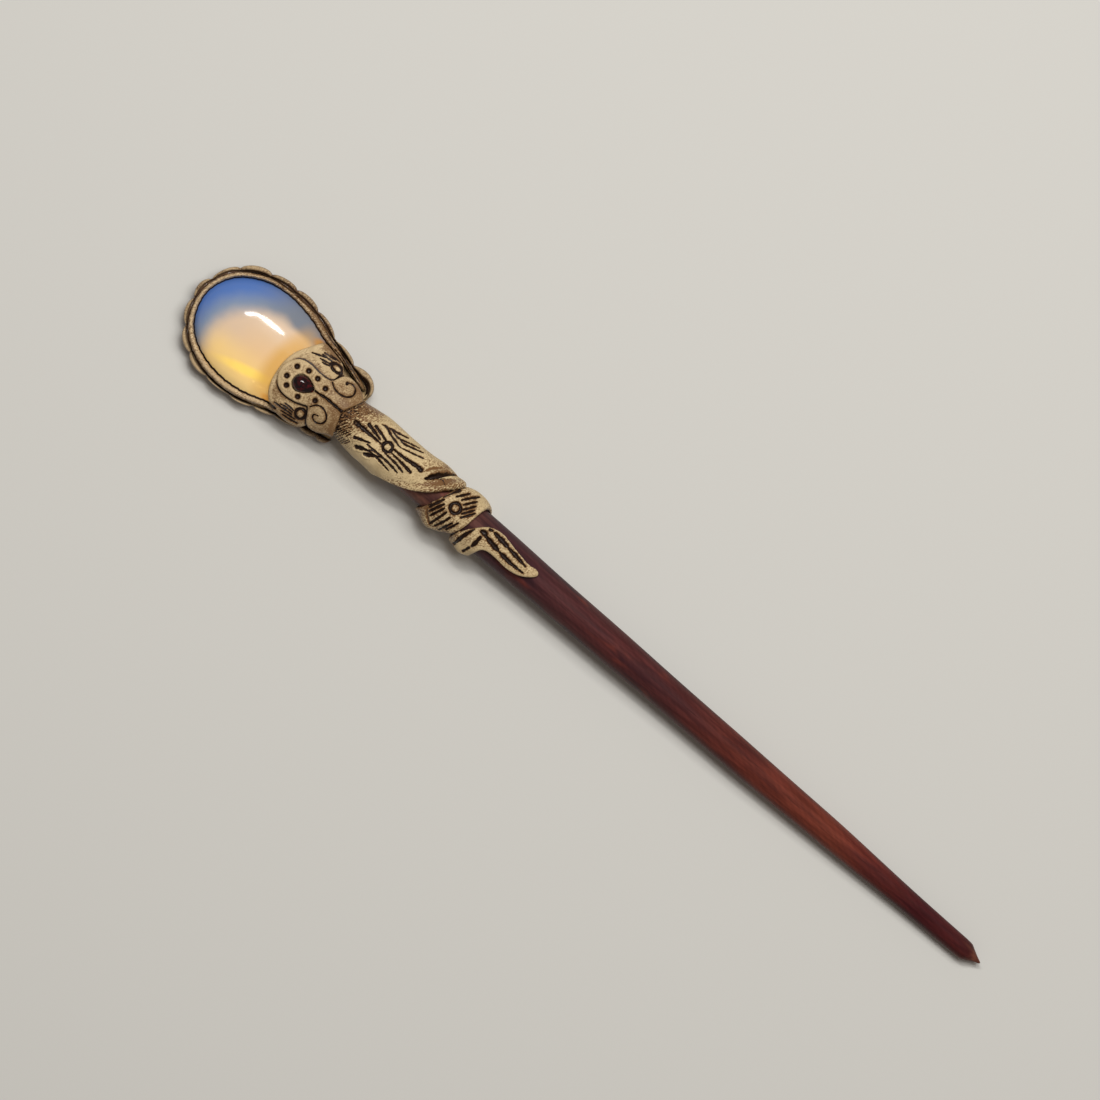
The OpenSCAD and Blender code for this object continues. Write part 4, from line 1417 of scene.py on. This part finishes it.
def make_garnet():
    """A pear-shaped cabochon: half a ball drawn out to a blunt point, on a straight edge"""
    garnet = half_ball("garnet_stone", 64, 40, [(1, 1)])
    x, y, z = read(garnet.data).T
    taper = 1 - GARNET_TAPER * rise(x, -0.15, 1.15) ** 1.3
    dome = np.clip(z, 0, None) * GARNET_DOME * (1 - 0.30 * np.clip(x + 0.3, 0, None))
    high = np.where(z < -1e-4, 0, GARNET_EDGE_H + dome)
    flat_x = x * GARNET_HALF_L
    flat_y = y * GARNET_HALF_W * taper + GARNET_BEND * rise(x, -0.2, 1.2) ** 1.5
    middle_x, middle_y = along_x(GARNET_MIDDLE[0]), across_y(GARNET_MIDDLE[1])
    slope = (cap_z(middle_x + 2 * MM, 0) - cap_z(middle_x - 2 * MM, 0)) / (4 * MM)
    lean = GARNET_LEAN * np.arctan(slope)
    x = middle_x + (flat_x * np.cos(lean) - high * np.sin(lean)) * MM
    z = cap_z(middle_x, middle_y) - GARNET_SUNK + (flat_x * np.sin(lean) + high * np.cos(lean)) * MM
    reshape(garnet, np.column_stack([x, middle_y + flat_y * MM, z]))
    pick(garnet)
    bpy.ops.object.shade_smooth_by_angle(angle=radians(40))
    dress(garnet, garnet_red, "dark_stone", "garnet")


make_garnet()

# The sleeve round the neck: where it starts, the length that its thickness is set over, its outer radius,
# the gap under it and its thickness (mm), and where its slanting end lies (degrees from the top, and mm along
# the wood)
SLEEVE_FROM = -2.08 * MM
SLEEVE_L = 27 * MM
SLEEVE_R = 5.2 * MM
SLEEVE_GAP = 0.06
SLEEVE_THICK = [
    (0, 0.22), (0.07, 0.3), (0.12, 0.42), (0.18, 0.75), (0.28, 1.06), (0.45, 1.14), (0.62, 1.05),
    (0.8, 1.12), (0.93, 1.3), (1, 1.2),
]
SLEEVE_END = [
    (-180, 16.5), (-155, 13.2), (-130, 11.2), (-100, 10.5), (-80, 11.0), (-68, 12.0), (-55, 14.6),
    (-40, 16.9), (-23, 19.2), (-4, 21.2), (14.5, 22.6), (40, 24.3), (64, 25.3), (95, 25.4), (125, 24.2),
    (150, 21.0), (180, 16.5),
]
SLEEVE_MARKS = [
    # rays on the neck's side, wide where the tool went in
    ([(-825.4, 1.4, 1), (-812, 1.6, 0.8), (-802, 1.8, 0.5), (-792, 1.7, 0.25)], 4.2, 0.52, 1.0),
    ([(-813.9, 8.6, 1), (-805, 6.6, 0.9), (-795.7, 4.3, 0.4)], 2.8, 0.44, 1.0),
    ([(-807.9, 11.8, 1), (-799, 9.8, 0.9), (-790, 7.1, 0.6)], 2.5, 0.42, 1.0),
    ([(-816.8, -11.1, 1), (-810, -8.2, 0.8), (-801.4, -5, 0.4)], 2.6, 0.42, 1.0),
    (
        [
            (-809.3, -17.1, 1), (-803.6, -14.3, 0.8), (-797, -12.1, 0.4), (-787, -11.8, 0.55),
            (-778.6, -12.9, 0.5), (-769.6, -14, 0.3),
        ],
        3.6, 0.48, 1.0,
    ),
    (
        [
            (-798.6, -17.1, 1), (-793.6, -14.6, 0.95), (-788.6, -11.4, 0.5), (-783.6, -8.6, 0.25),
        ],
        3.2, 0.46, 1.0,
    ),
    ([(-797.9, -10.7), (-793.6, -8.6)], 1.2, 0.20, 0.8),
    (
        [
            (-802.5, -7.9, 0.6), (-793, -7.9, 0.9), (-781.4, -7.9, 1), (-770, -8.6, 1),
            (-762, -9.8, 0.6),
        ],
        1.9, 0.34, 1.0,
    ),
    # rays on the far side
    (
        [
            (-778.6, 6.0, 0.4), (-766, 6.4, 0.7), (-757, 7.6, 0.85), (-750, 8.4, 1), (-745.8, 8.0, 1),
        ],
        3.7, 0.46, 1.0,
    ),
    ([(-779.4, 1.6, 0.4), (-768, 0.9, 0.7), (-760, 0.2, 0.9), (-752, -0.6, 1)], 2.6, 0.42, 1.0),
    ([(-783.6, -2.9, 0.5), (-770, -3.6, 1), (-758, -5.8, 0.8)], 1.9, 0.34, 1.0),
    # chevrons on the +Y side
    (
        [
            (-804.3, 17.1, 0.5), (-799.3, 18.2, 1), (-790.7, 15, 1), (-781.4, 12.9, 0.9),
            (-775.7, 11.9, 0.5), (-763, 15.2, 0.8), (-751, 18.6, 0.6),
        ],
        1.8, 0.34, 1.0,
    ),
    ([(-796.4, 19.3, 0.8), (-786.4, 21.4, 1), (-776, 23.9, 0.6)], 1.7, 0.30, 1.0),
    (
        [
            (-793, 19.4, 0.6), (-787.9, 18.2, 1), (-782.6, 17.8, 0.9), (-769, 21.6, 0.9),
            (-761, 23.6, 0.5),
        ],
        1.5, 0.28, 1.0,
    ),
    ([(-781, 17.6, 0.6), (-775.7, 16.8, 1), (-768, 18.8, 1), (-755.4, 22.6, 0.6)], 1.6, 0.28, 1.0),
    # ring of the sun
    (ring_mark(-785.5, 3.6, 4.9), 2.5, 0.44, 1.0),
    # the fold at the slanting end
    (
        [
            (-736, 5, 0.45), (-732, 11, 0.9), (-726.6, 17.4, 1), (-720, 23.2, 0.9), (-712.6, 27.2, 0.5),
        ],
        5.2, 0.95, 1.0,
    ),
    ([(-742, 9, 0.5), (-738.6, 16, 1), (-732, 22.6, 0.6)], 2.6, 0.16, 0.15),
    ([(-727.6, 12.4), (-722.8, 14.6), (-718.4, 12.8)], 1.3, 0.24, 0.6),
]

# Rows of slanted strokes on the neck: middle of each row, its two ends and how dark it is
NECK_ROWS = [
    (17, -836, -820, 0.42), (9, -839, -827, 0.55), (1, -841, -829, 0.5), (-7, -839, -826, 0.65),
    (-14, -837, -822, 0.95), (-20.5, -833, -817, 0.5),
]
STROKE_GAP = 2.8
for middle, first, last, dark in NECK_ROWS:
    for place in np.arange(first, last, STROKE_GAP):
        centre = middle + 1.3 * sin(place * 1.9)
        reach = 3.0 + 0.7 * sin(place * 3.1 + middle)
        stroke = [(place - 0.5 * reach, centre - reach), (place + 0.5 * reach, centre + reach)]
        SLEEVE_MARKS.append((stroke, 1.2, 0.14 + 0.1 * dark, 0.75 * dark))
# Where it swells and where it is browner: along in pixels, round in degrees, their reaches, and how much
SLEEVE_SWELLS = [(-731, 70, 14, 38, 0.40)]
SLEEVE_RUBS = [(-722, 40, 15, 42, 1.05), (-818, 62, 12, 26, 0.55)]
# The rolled lip at its slanting end and the dip behind it: distance from the end, reach, height (mm). Both
# are strongest where the clay folds over, at this turn round the wood.
LIP_ROLL = (1.05, 0.75, 0.26)
LIP_DIP = (2.6, 0.6, 0.22)
FOLD_TURN = 0.7
# Where it comes out from under the cap, and where the print of cloth fades, in pixels
CAP_END_U = -843
NECK_CLOTH_U = -836


def sleeve_end(degrees):
    """How far along the wood the sleeve reaches, round the wood"""
    table = np.array(SLEEVE_END)
    full_turn = [360, 0]
    line = curve_through(np.vstack([table[-3:-1] - full_turn, table, table[1:3] + full_turn]), 8)
    return np.interp(degrees, line[:, 0], line[:, 1]) * MM


def make_sleeve():
    # laid out first as a plain ring: its radius tells the outer wall from the inner one, and its height is
    # the share of the sleeve's length, with closer steps in the rounded lip
    lip = 0.965 + 0.035 * np.sin(np.linspace(0.08, 1, 12) * pi / 2)
    shares = np.concatenate([np.linspace(0, 0.965, 230), lip])
    loop = [(2, 0, share) for share in shares] + [(1, 0, share) for share in (1.0, 0.75, 0.5, 0.25, 0.0)]
    sleeve = new_piece("sleeve", loop, [(i, (i + 1) % len(loop)) for i in range(len(loop))], [])
    spin_round(sleeve, 256, 1e-5)
    x, y, share = read(sleeve.data).T
    outside = np.hypot(x, y) > 1.5
    turn = np.arctan2(y, x)
    degrees = np.degrees(turn)
    end_l = sleeve_end(degrees)
    l = SLEEVE_FROM + share * (end_l - SLEEVE_FROM)
    from_end = (end_l - l) / MM
    u, v = pixels(NECK_X + l * AXIS[0], np.sin(turn) * SLEEVE_R)
    folded = np.clip(np.cos(turn - FOLD_TURN), 0, 1)
    thick = on_the_way((l - SLEEVE_FROM) / SLEEVE_L, SLEEVE_THICK)
    thick += LIP_ROLL[2] * hump(from_end, *LIP_ROLL[:2]) * (0.1 + 0.9 * folded)
    thick -= LIP_DIP[2] * hump(from_end, *LIP_DIP[:2]) * folded
    thick += patches(u, degrees, SLEEVE_SWELLS)
    thick += 0.05 * np.sin(3 * turn + l / MM * 0.5) + 0.035 * np.sin(5 * turn - l / MM * 0.9)
    thick *= np.sqrt(np.clip(1 - (1 - rise(from_end, 0, 0.75)) ** 2, 0.004, 1))
    reshape(sleeve, round_wood(l, wood_r(l) + (SLEEVE_GAP + np.where(outside, thick, 0)) * MM, turn))
    face_outwards(sleeve)

    neck = 1 - rise(u, CAP_END_U, 34)
    underside = np.clip(-np.cos(turn), 0, 1)
    beside_cap = 0.4 * hump(np.clip(u - CAP_END_U - 0.25 * np.abs(v), 0, None), 0, 4.5)
    # dark at its slanting end and beside the cap: painted shadow; a little ink towards the neck
    ink_and_shade = np.clip(1 - from_end / 0.35, 0, 1) * 0.8 + 0.16 * neck + beside_cap
    keep(sleeve, "ink_and_shade", np.where(outside, ink_and_shade, 0.5))
    press(sleeve, SLEEVE_MARKS)
    brown_wash_and_shade = rub(sleeve, (30, 9, -0.45, 0.7), (12, 0.8)) - 0.06
    brown_wash_and_shade += 1.0 * neck + 0.25 * hump(from_end, 0, 3.0) + 0.25 * underside
    brown_wash_and_shade += patches(u, degrees, SLEEVE_RUBS) - 0.60 * np.clip(-np.sin(turn), 0, 1)
    keep(sleeve, "brown_wash_and_shade", brown_wash_and_shade)
    cloth = 1.3 * (1 - rise(u, NECK_CLOTH_U, 30)) + 1.1 * np.clip(1 - from_end / 4.5, 0, 1)
    keep(sleeve, "cloth", cloth + 0.3 * underside + 0.42)
    smooth(sleeve)
    dress(sleeve, wrap_clay, "clay", "wrap")


make_sleeve()

# The ribbon that winds round the stick from the fold: way along the wood from the neck (mm), turn round it
# from the top (degrees), half width (mm)
RIBBON = [
    (20.3, 12, 0.8), (22.1, 45, 1.1), (23.6, 78, 1.3), (23.6, 128, 1.43), (23.2, 180, 1.56),
    (22.9, 232, 2.1), (23.6, 272, 2.8), (25.2, 312, 3.4), (26.6, 357, 3.45), (27.45, 400, 3.15),
    (28.65, 450, 2.8), (29.9, 495, 2.7), (30.7, 540, 2.58), (31.3, 585, 2.4), (31.6, 626, 2.35),
    (31.7, 658, 2.35), (31.9, 684, 2.2),
]
TAIL_EDGE = [
    (-679.6, -27), (-676.2, -15), (-670.8, -5), (-664, 3.6), (-657, 9.8), (-646, 13.4), (-634, 12.5),
    (-618, 9.3), (-603.6, 7.6), (-595, 9), (-590.6, 8), (-589.4, 4), (-594, -2), (-604, -8.6),
    (-618, -11.2), (-632, -10.2), (-643, -10.6), (-649, -14), (-652, -21), (-653.6, -29),
]
RIBBON_MARKS = [
    # ring on the band
    (ring_mark(-694.5, 1.7, 5.4), 2.7, 0.44, 1.0),
    # painted shadow pressed in as a dark mark in the corner between the fold and the band
    ([(-701, 25.8, 0.6), (-703.4, 22.4, 1), (-705.8, 18.6, 0.8), (-708, 13.6, 0.4)], 3.0, 0.40, 1.0),
    # short lines of the band's +Y side
    ([(-710.6, 2.6, 0.5), (-708, 9.6, 0.7), (-704.8, 15, 1), (-702.6, 18.4, 0.9)], 2.5, 0.36, 1.0),
    ([(-701.2, 11.4), (-697.4, 16.6), (-693.4, 22.2)], 2.0, 0.38, 1.0),
    ([(-695, 12.2), (-690, 19), (-683.8, 26)], 2.0, 0.38, 1.0),
    ([(-690.8, 9.4), (-686.8, 15), (-682.4, 21)], 1.9, 0.36, 1.0),
    ([(-687.8, 5.6), (-684.2, 10.8), (-680.2, 17)], 1.9, 0.36, 1.0),
    ([(-686, 1.8), (-682.6, 6.6), (-678.8, 12.6)], 1.9, 0.36, 1.0),
    ([(-684.2, -1.8), (-680.4, 3.6), (-676.4, 10.4)], 1.9, 0.36, 1.0),
    # and of its other side
    ([(-709, 0.6, 0.6), (-711.6, -5, 1), (-714, -10.4, 1), (-715, -15, 0.6)], 2.9, 0.38, 1.0),
    ([(-705.8, -3), (-708.8, -9.4), (-712.2, -17.4)], 2.4, 0.38, 1.0),
    ([(-702.8, -5.8), (-705.6, -12.8), (-709, -20.6)], 2.1, 0.38, 1.0),
    ([(-698.8, -7.6), (-700.8, -16), (-704, -27.4)], 2.1, 0.38, 1.0),
    ([(-692.6, -9.4), (-695, -17), (-698.6, -25)], 2.0, 0.36, 1.0),
    ([(-687.4, -12.2), (-690, -18.4), (-693, -25.4)], 1.9, 0.34, 1.0),
    ([(-682.8, -8), (-685, -14), (-688, -20.8)], 1.9, 0.34, 1.0),
    # where the band lies over the turn below it, and the small nicks on its border
    ([(-716.2, -10.6), (-717.4, -13.6)], 1.6, 0.25, 0.8),
    ([(-713.6, -1.4), (-714.6, -4.2)], 1.4, 0.22, 0.7),
    (
        [
            (-716.6, -14.4, 0.5), (-714.8, -18.6, 0.9), (-711, -22.4, 1), (-706.6, -25.8, 1),
            (-702.4, -28.4, 0.5),
        ],
        2.0, 0.22, 0.3,
    ),
    # lines of the tail, cut in short strokes
    ([(-648.4, 9, 0.5), (-641, 8.2, 1), (-632.6, 7.2, 0.9), (-629.4, 6.6, 0.4)], 4.1, 0.48, 1.0),
    ([(-627.6, 6.4, 0.5), (-621, 5.8, 1), (-613, 4.8, 0.8), (-603.6, 3.4, 0.35)], 3.6, 0.42, 1.0),
    ([(-654.2, 8.4, 1), (-652, 9.2, 0.8)], 2.6, 0.36, 1.0),
    ([(-653.4, 0.5, 0.6), (-645, -1, 1), (-636.6, -2.2, 0.9), (-634, -2.6, 0.4)], 4.1, 0.48, 1.0),
    ([(-632, -2.8, 0.6), (-626, -3.3, 1), (-617, -4, 0.8), (-601.6, -3.2, 0.35)], 3.6, 0.42, 1.0),
    ([(-659, 1.6, 1), (-655.6, 2.0, 0.9)], 4.4, 0.48, 1.0),
    (
        [
            (-667, -2, 0.5), (-668.8, -8, 0.9), (-670.4, -14, 1), (-671.8, -21, 0.9),
            (-672.8, -26.4, 0.7),
        ],
        3.1, 0.46, 1.0,
    ),
    ([(-656.8, -4, 0.6), (-656.8, -10, 1), (-657.4, -16.4, 0.8)], 3.2, 0.44, 1.0),
    ([(-658.8, -19.4, 0.8), (-660.8, -26, 0.9)], 2.4, 0.34, 1.0),
]
# Its thickness, the rounding of its edge, the grain of its net and the gap under it, in mm
RIBBON_THICK = 1.15
RIBBON_ROUND = 0.42
RIBBON_GRAIN = 0.105
RIBBON_GAP = 0.07
# The band's crown is highest here and reaches this far, round the wood; it dives under the stick's side here
BAND_CREST = (448, 34)
BAND_FOOT = 284
# The tail gets thinner: from where along the wood and over what length, in mm
TAIL_THINS = (43, 5)
# The sheet is cut as if rolled round a stick of this radius (mm), and the tail is seen at the outer one
ROLL_R = 4.0
TAIL_R = 4.9
# The tail's hidden end beside the stick: along the wood (mm) and round it
TAIL_HIDDEN_L = (33.6, 31.2)
TAIL_HIDDEN_TURN = 4 * pi - radians(86)
# Where the ribbon swells or thins on the stick's -Y side: middle along in pixels and round in degrees, their
# reaches, height in mm
RIBBON_SWELLS = [
    (-706, 282, 10, 22, 0.95), (-685, 282, 7, 22, -0.5), (-726, 282, 6, 22, -0.45),
    (-664.5, 646, 7, 18, 0.6), (-651, 646, 4.5, 18, -0.4), (-680, 646, 4, 18, -0.4),
]
# Brown folds at the foot of the bulges, seen from above, in pixels
RIBBON_FOLDS = [(-720, -24, 8, 8, 1), (-684, -27, 5, 6, 1), (-677.6, -19, 3.2, 10, 0.7)]


def band_outline():
    table = np.array(RIBBON, float)
    table[:, 1] = np.radians(table[:, 1]) * ROLL_R
    line, _ = even_steps(curve_through(table, 8), 0.3)
    t = np.gradient(line[:, :2], axis=0)
    t /= np.linalg.norm(t, axis=1)[:, None]
    n = np.column_stack([-t[:, 1], t[:, 0]])
    return np.vstack([line[:, :2] + n * line[:, 2:3], (line[:, :2] - n * line[:, 2:3])[::-1]])


def tail_outline():
    """The tail as it shows from above, unrolled: two turns on from the top"""
    xy = places(TAIL_EDGE) / MM
    l = (xy[:, 0] - NECK_X / MM) / AXIS[0]
    turn = np.arcsin(np.clip(xy[:, 1] / TAIL_R, -0.999, 0.999)) + 4 * pi
    edge = curve_through(np.column_stack([l, turn * ROLL_R]), 5)
    return np.vstack([edge, [[l, TAIL_HIDDEN_TURN * ROLL_R] for l in TAIL_HIDDEN_L]])


def ribbon_height(l, roll, height, u):
    """Height over the wood in mm: crowned on the band, swollen at the stick's side and thin on the tail"""
    degrees = np.degrees(roll / ROLL_R)
    middle_l, middle_turn, half = np.array(RIBBON).T
    across = np.abs(l - np.interp(degrees, middle_turn, middle_l)) / np.interp(degrees, middle_turn, half)
    crown = (0.1 + 0.3 * hump(degrees, *BAND_CREST)) * (1 - 1.6 * np.clip(across, 0, 1.2) ** 2.4)
    crown *= (roll > 24) * np.clip((600 - degrees) / 60, 0, 1)
    swell = patches(u, degrees, RIBBON_SWELLS) + crown + 0.05 * np.sin(roll * 0.9)
    thin = (1 - 0.38 * rise(l, *TAIL_THINS)) * (0.55 + 0.45 * rise(roll, 1.5, 3.0))
    return height * thin + swell * height / RIBBON_THICK


def make_ribbon():
    outlines = [[band_outline()], [tail_outline()]]
    ribbon = cut_sheet("ribbon", outlines, RIBBON_THICK, RIBBON_ROUND, RIBBON_GRAIN)
    l, roll, height = read(ribbon.data).T
    u = pixels(NECK_X + l * MM * AXIS[0], 0)[0]
    radius = wood_r(l * MM) + (RIBBON_GAP + ribbon_height(l, roll, height, u)) * MM
    reshape(ribbon, round_wood(l * MM, radius, roll / ROLL_R))
    face_outwards(ribbon)
    # dark low on its edges, where it meets the wood: painted shade
    keep(ribbon, "ink_and_shade", np.clip((0.45 - height) / 0.3, 0, 1) * 0.85)
    press(ribbon, RIBBON_MARKS)
    v = read(ribbon.data)[:, 1] / PIXEL
    under = hump(roll, radians(BAND_FOOT) * ROLL_R, 3.2)
    folds = patches(u, v, RIBBON_FOLDS)
    brown_wash_and_shade = rub(ribbon, (30, 9, -0.45, 0.7), (14, 0.9)) + 0.18
    # browner low on its edges: painted shade
    brown_wash_and_shade += 0.35 * under + 0.4 * np.clip((0.7 - height) / 0.5, 0, 1) - 0.3 * rise(-v, 0, 25)
    keep(ribbon, "brown_wash_and_shade", brown_wash_and_shade + 0.9 * folds + 0.12 * rise(l, *TAIL_THINS))
    keep(ribbon, "cloth", 0.5 * under + 0.7 * folds + 0.42)
    smooth(ribbon)
    dress(ribbon, wrap_clay, "clay", "wrap")


make_ribbon()

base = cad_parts["base"]
base.data.materials.clear()
base.data.materials.append(base_clay)


# The studio: a plain pale floor, a long window, a large soft light and the pale room


FLOOR_WIDE = 3
FLOOR_COLOUR = (0.605, 0.605, 0.58, 1)
ROOM_COLOUR = (1.0, 0.86, 0.76, 1)
ROOM_LIGHT = 0.183
DAYLIGHT = (1, 0.98, 0.95)
SOFT_DAYLIGHT = (1, 0.985, 0.955)
# The places that the lamps are aimed at, in mm
HEAD_SPOT = (-78, 0, 8)
STICK_SPOT = (-20, 0, 5)
# Name, shape, place it lights, way to it, distance, size, watts, tint, turn of its long side from above
LAMPS = [
    ("long window", "ELLIPSE", HEAD_SPOT, (-0.105, 0.375, 0.92), 0.60, (0.21, 0.058), 0.78, DAYLIGHT, 5),
    ("window corner", "ELLIPSE", HEAD_SPOT, (-0.325, 0.284, 0.90), 0.60, (0.125, 0.036), 0.27, DAYLIGHT, 57),
    ("soft window", "RECTANGLE", STICK_SPOT, (0.06, 0.39, 0.92), 1.30, (0.85, 0.65), 12.3, SOFT_DAYLIGHT, 0),
]


def hang_lamp(name, shape, aim, way, far, size, power, tint, turn):
    bpy.ops.object.light_add(type="AREA")
    lamp = bpy.context.object
    lamp.name = name
    way = Vector(way).normalized()
    side = Vector((cos(radians(turn)), sin(radians(turn)), 0))
    side = (side - side.dot(way) * way).normalized()
    lamp.location = Vector(aim) * MM + way * far
    lamp.rotation_euler = Matrix((side, way.cross(side), way)).transposed().to_euler()
    lamp.data.shape = shape
    lamp.data.size, lamp.data.size_y = size
    lamp.data.energy = power
    lamp.data.color = tint
    # only the two parts of the long window are mirrored in the stones
    lamp.visible_glossy = shape == "ELLIPSE"


def make_studio():
    select_none()
    bpy.ops.mesh.primitive_plane_add(size=FLOOR_WIDE, location=(0, 0, 0))
    floor = bpy.context.object
    floor.name = "floor"
    finish, _, shader = new_finish("pale floor", Roughness=0.9)
    shader.inputs["Base Color"].default_value = FLOOR_COLOUR
    floor.data.materials.append(finish)
    room = bpy.data.worlds.new("pale room")
    bpy.context.scene.world = room
    room.use_nodes = True
    light = room.node_tree.nodes["Background"].inputs
    light[0].default_value = ROOM_COLOUR
    light[1].default_value = ROOM_LIGHT
    for lamp in LAMPS:
        hang_lamp(*lamp)


make_studio()

# The camera looks straight down, and the stick runs from the upper left to the lower right of its frame.
# Where it looks, in pixels of the photograph, and how wide that is
VIEW_U = -596
VIEW_V = 32
VIEW_PIXELS = 1100
VIEW_TURN = radians(40.9)
VIEW_HEIGHT = 2.0
SENSOR = 36


def make_camera():
    spot = (along_x(VIEW_U), across_y(VIEW_V), VIEW_HEIGHT)
    bpy.ops.object.camera_add(location=spot, rotation=(0, 0, VIEW_TURN))
    camera = bpy.context.object
    camera.data.sensor_width = SENSOR
    camera.data.lens = SENSOR * (VIEW_HEIGHT - 5 * MM) / (VIEW_PIXELS * PIXEL)
    camera.data.clip_start = 0.1
    bpy.context.scene.camera = camera
    bpy.context.scene.view_settings.view_transform = "Standard"


make_camera()
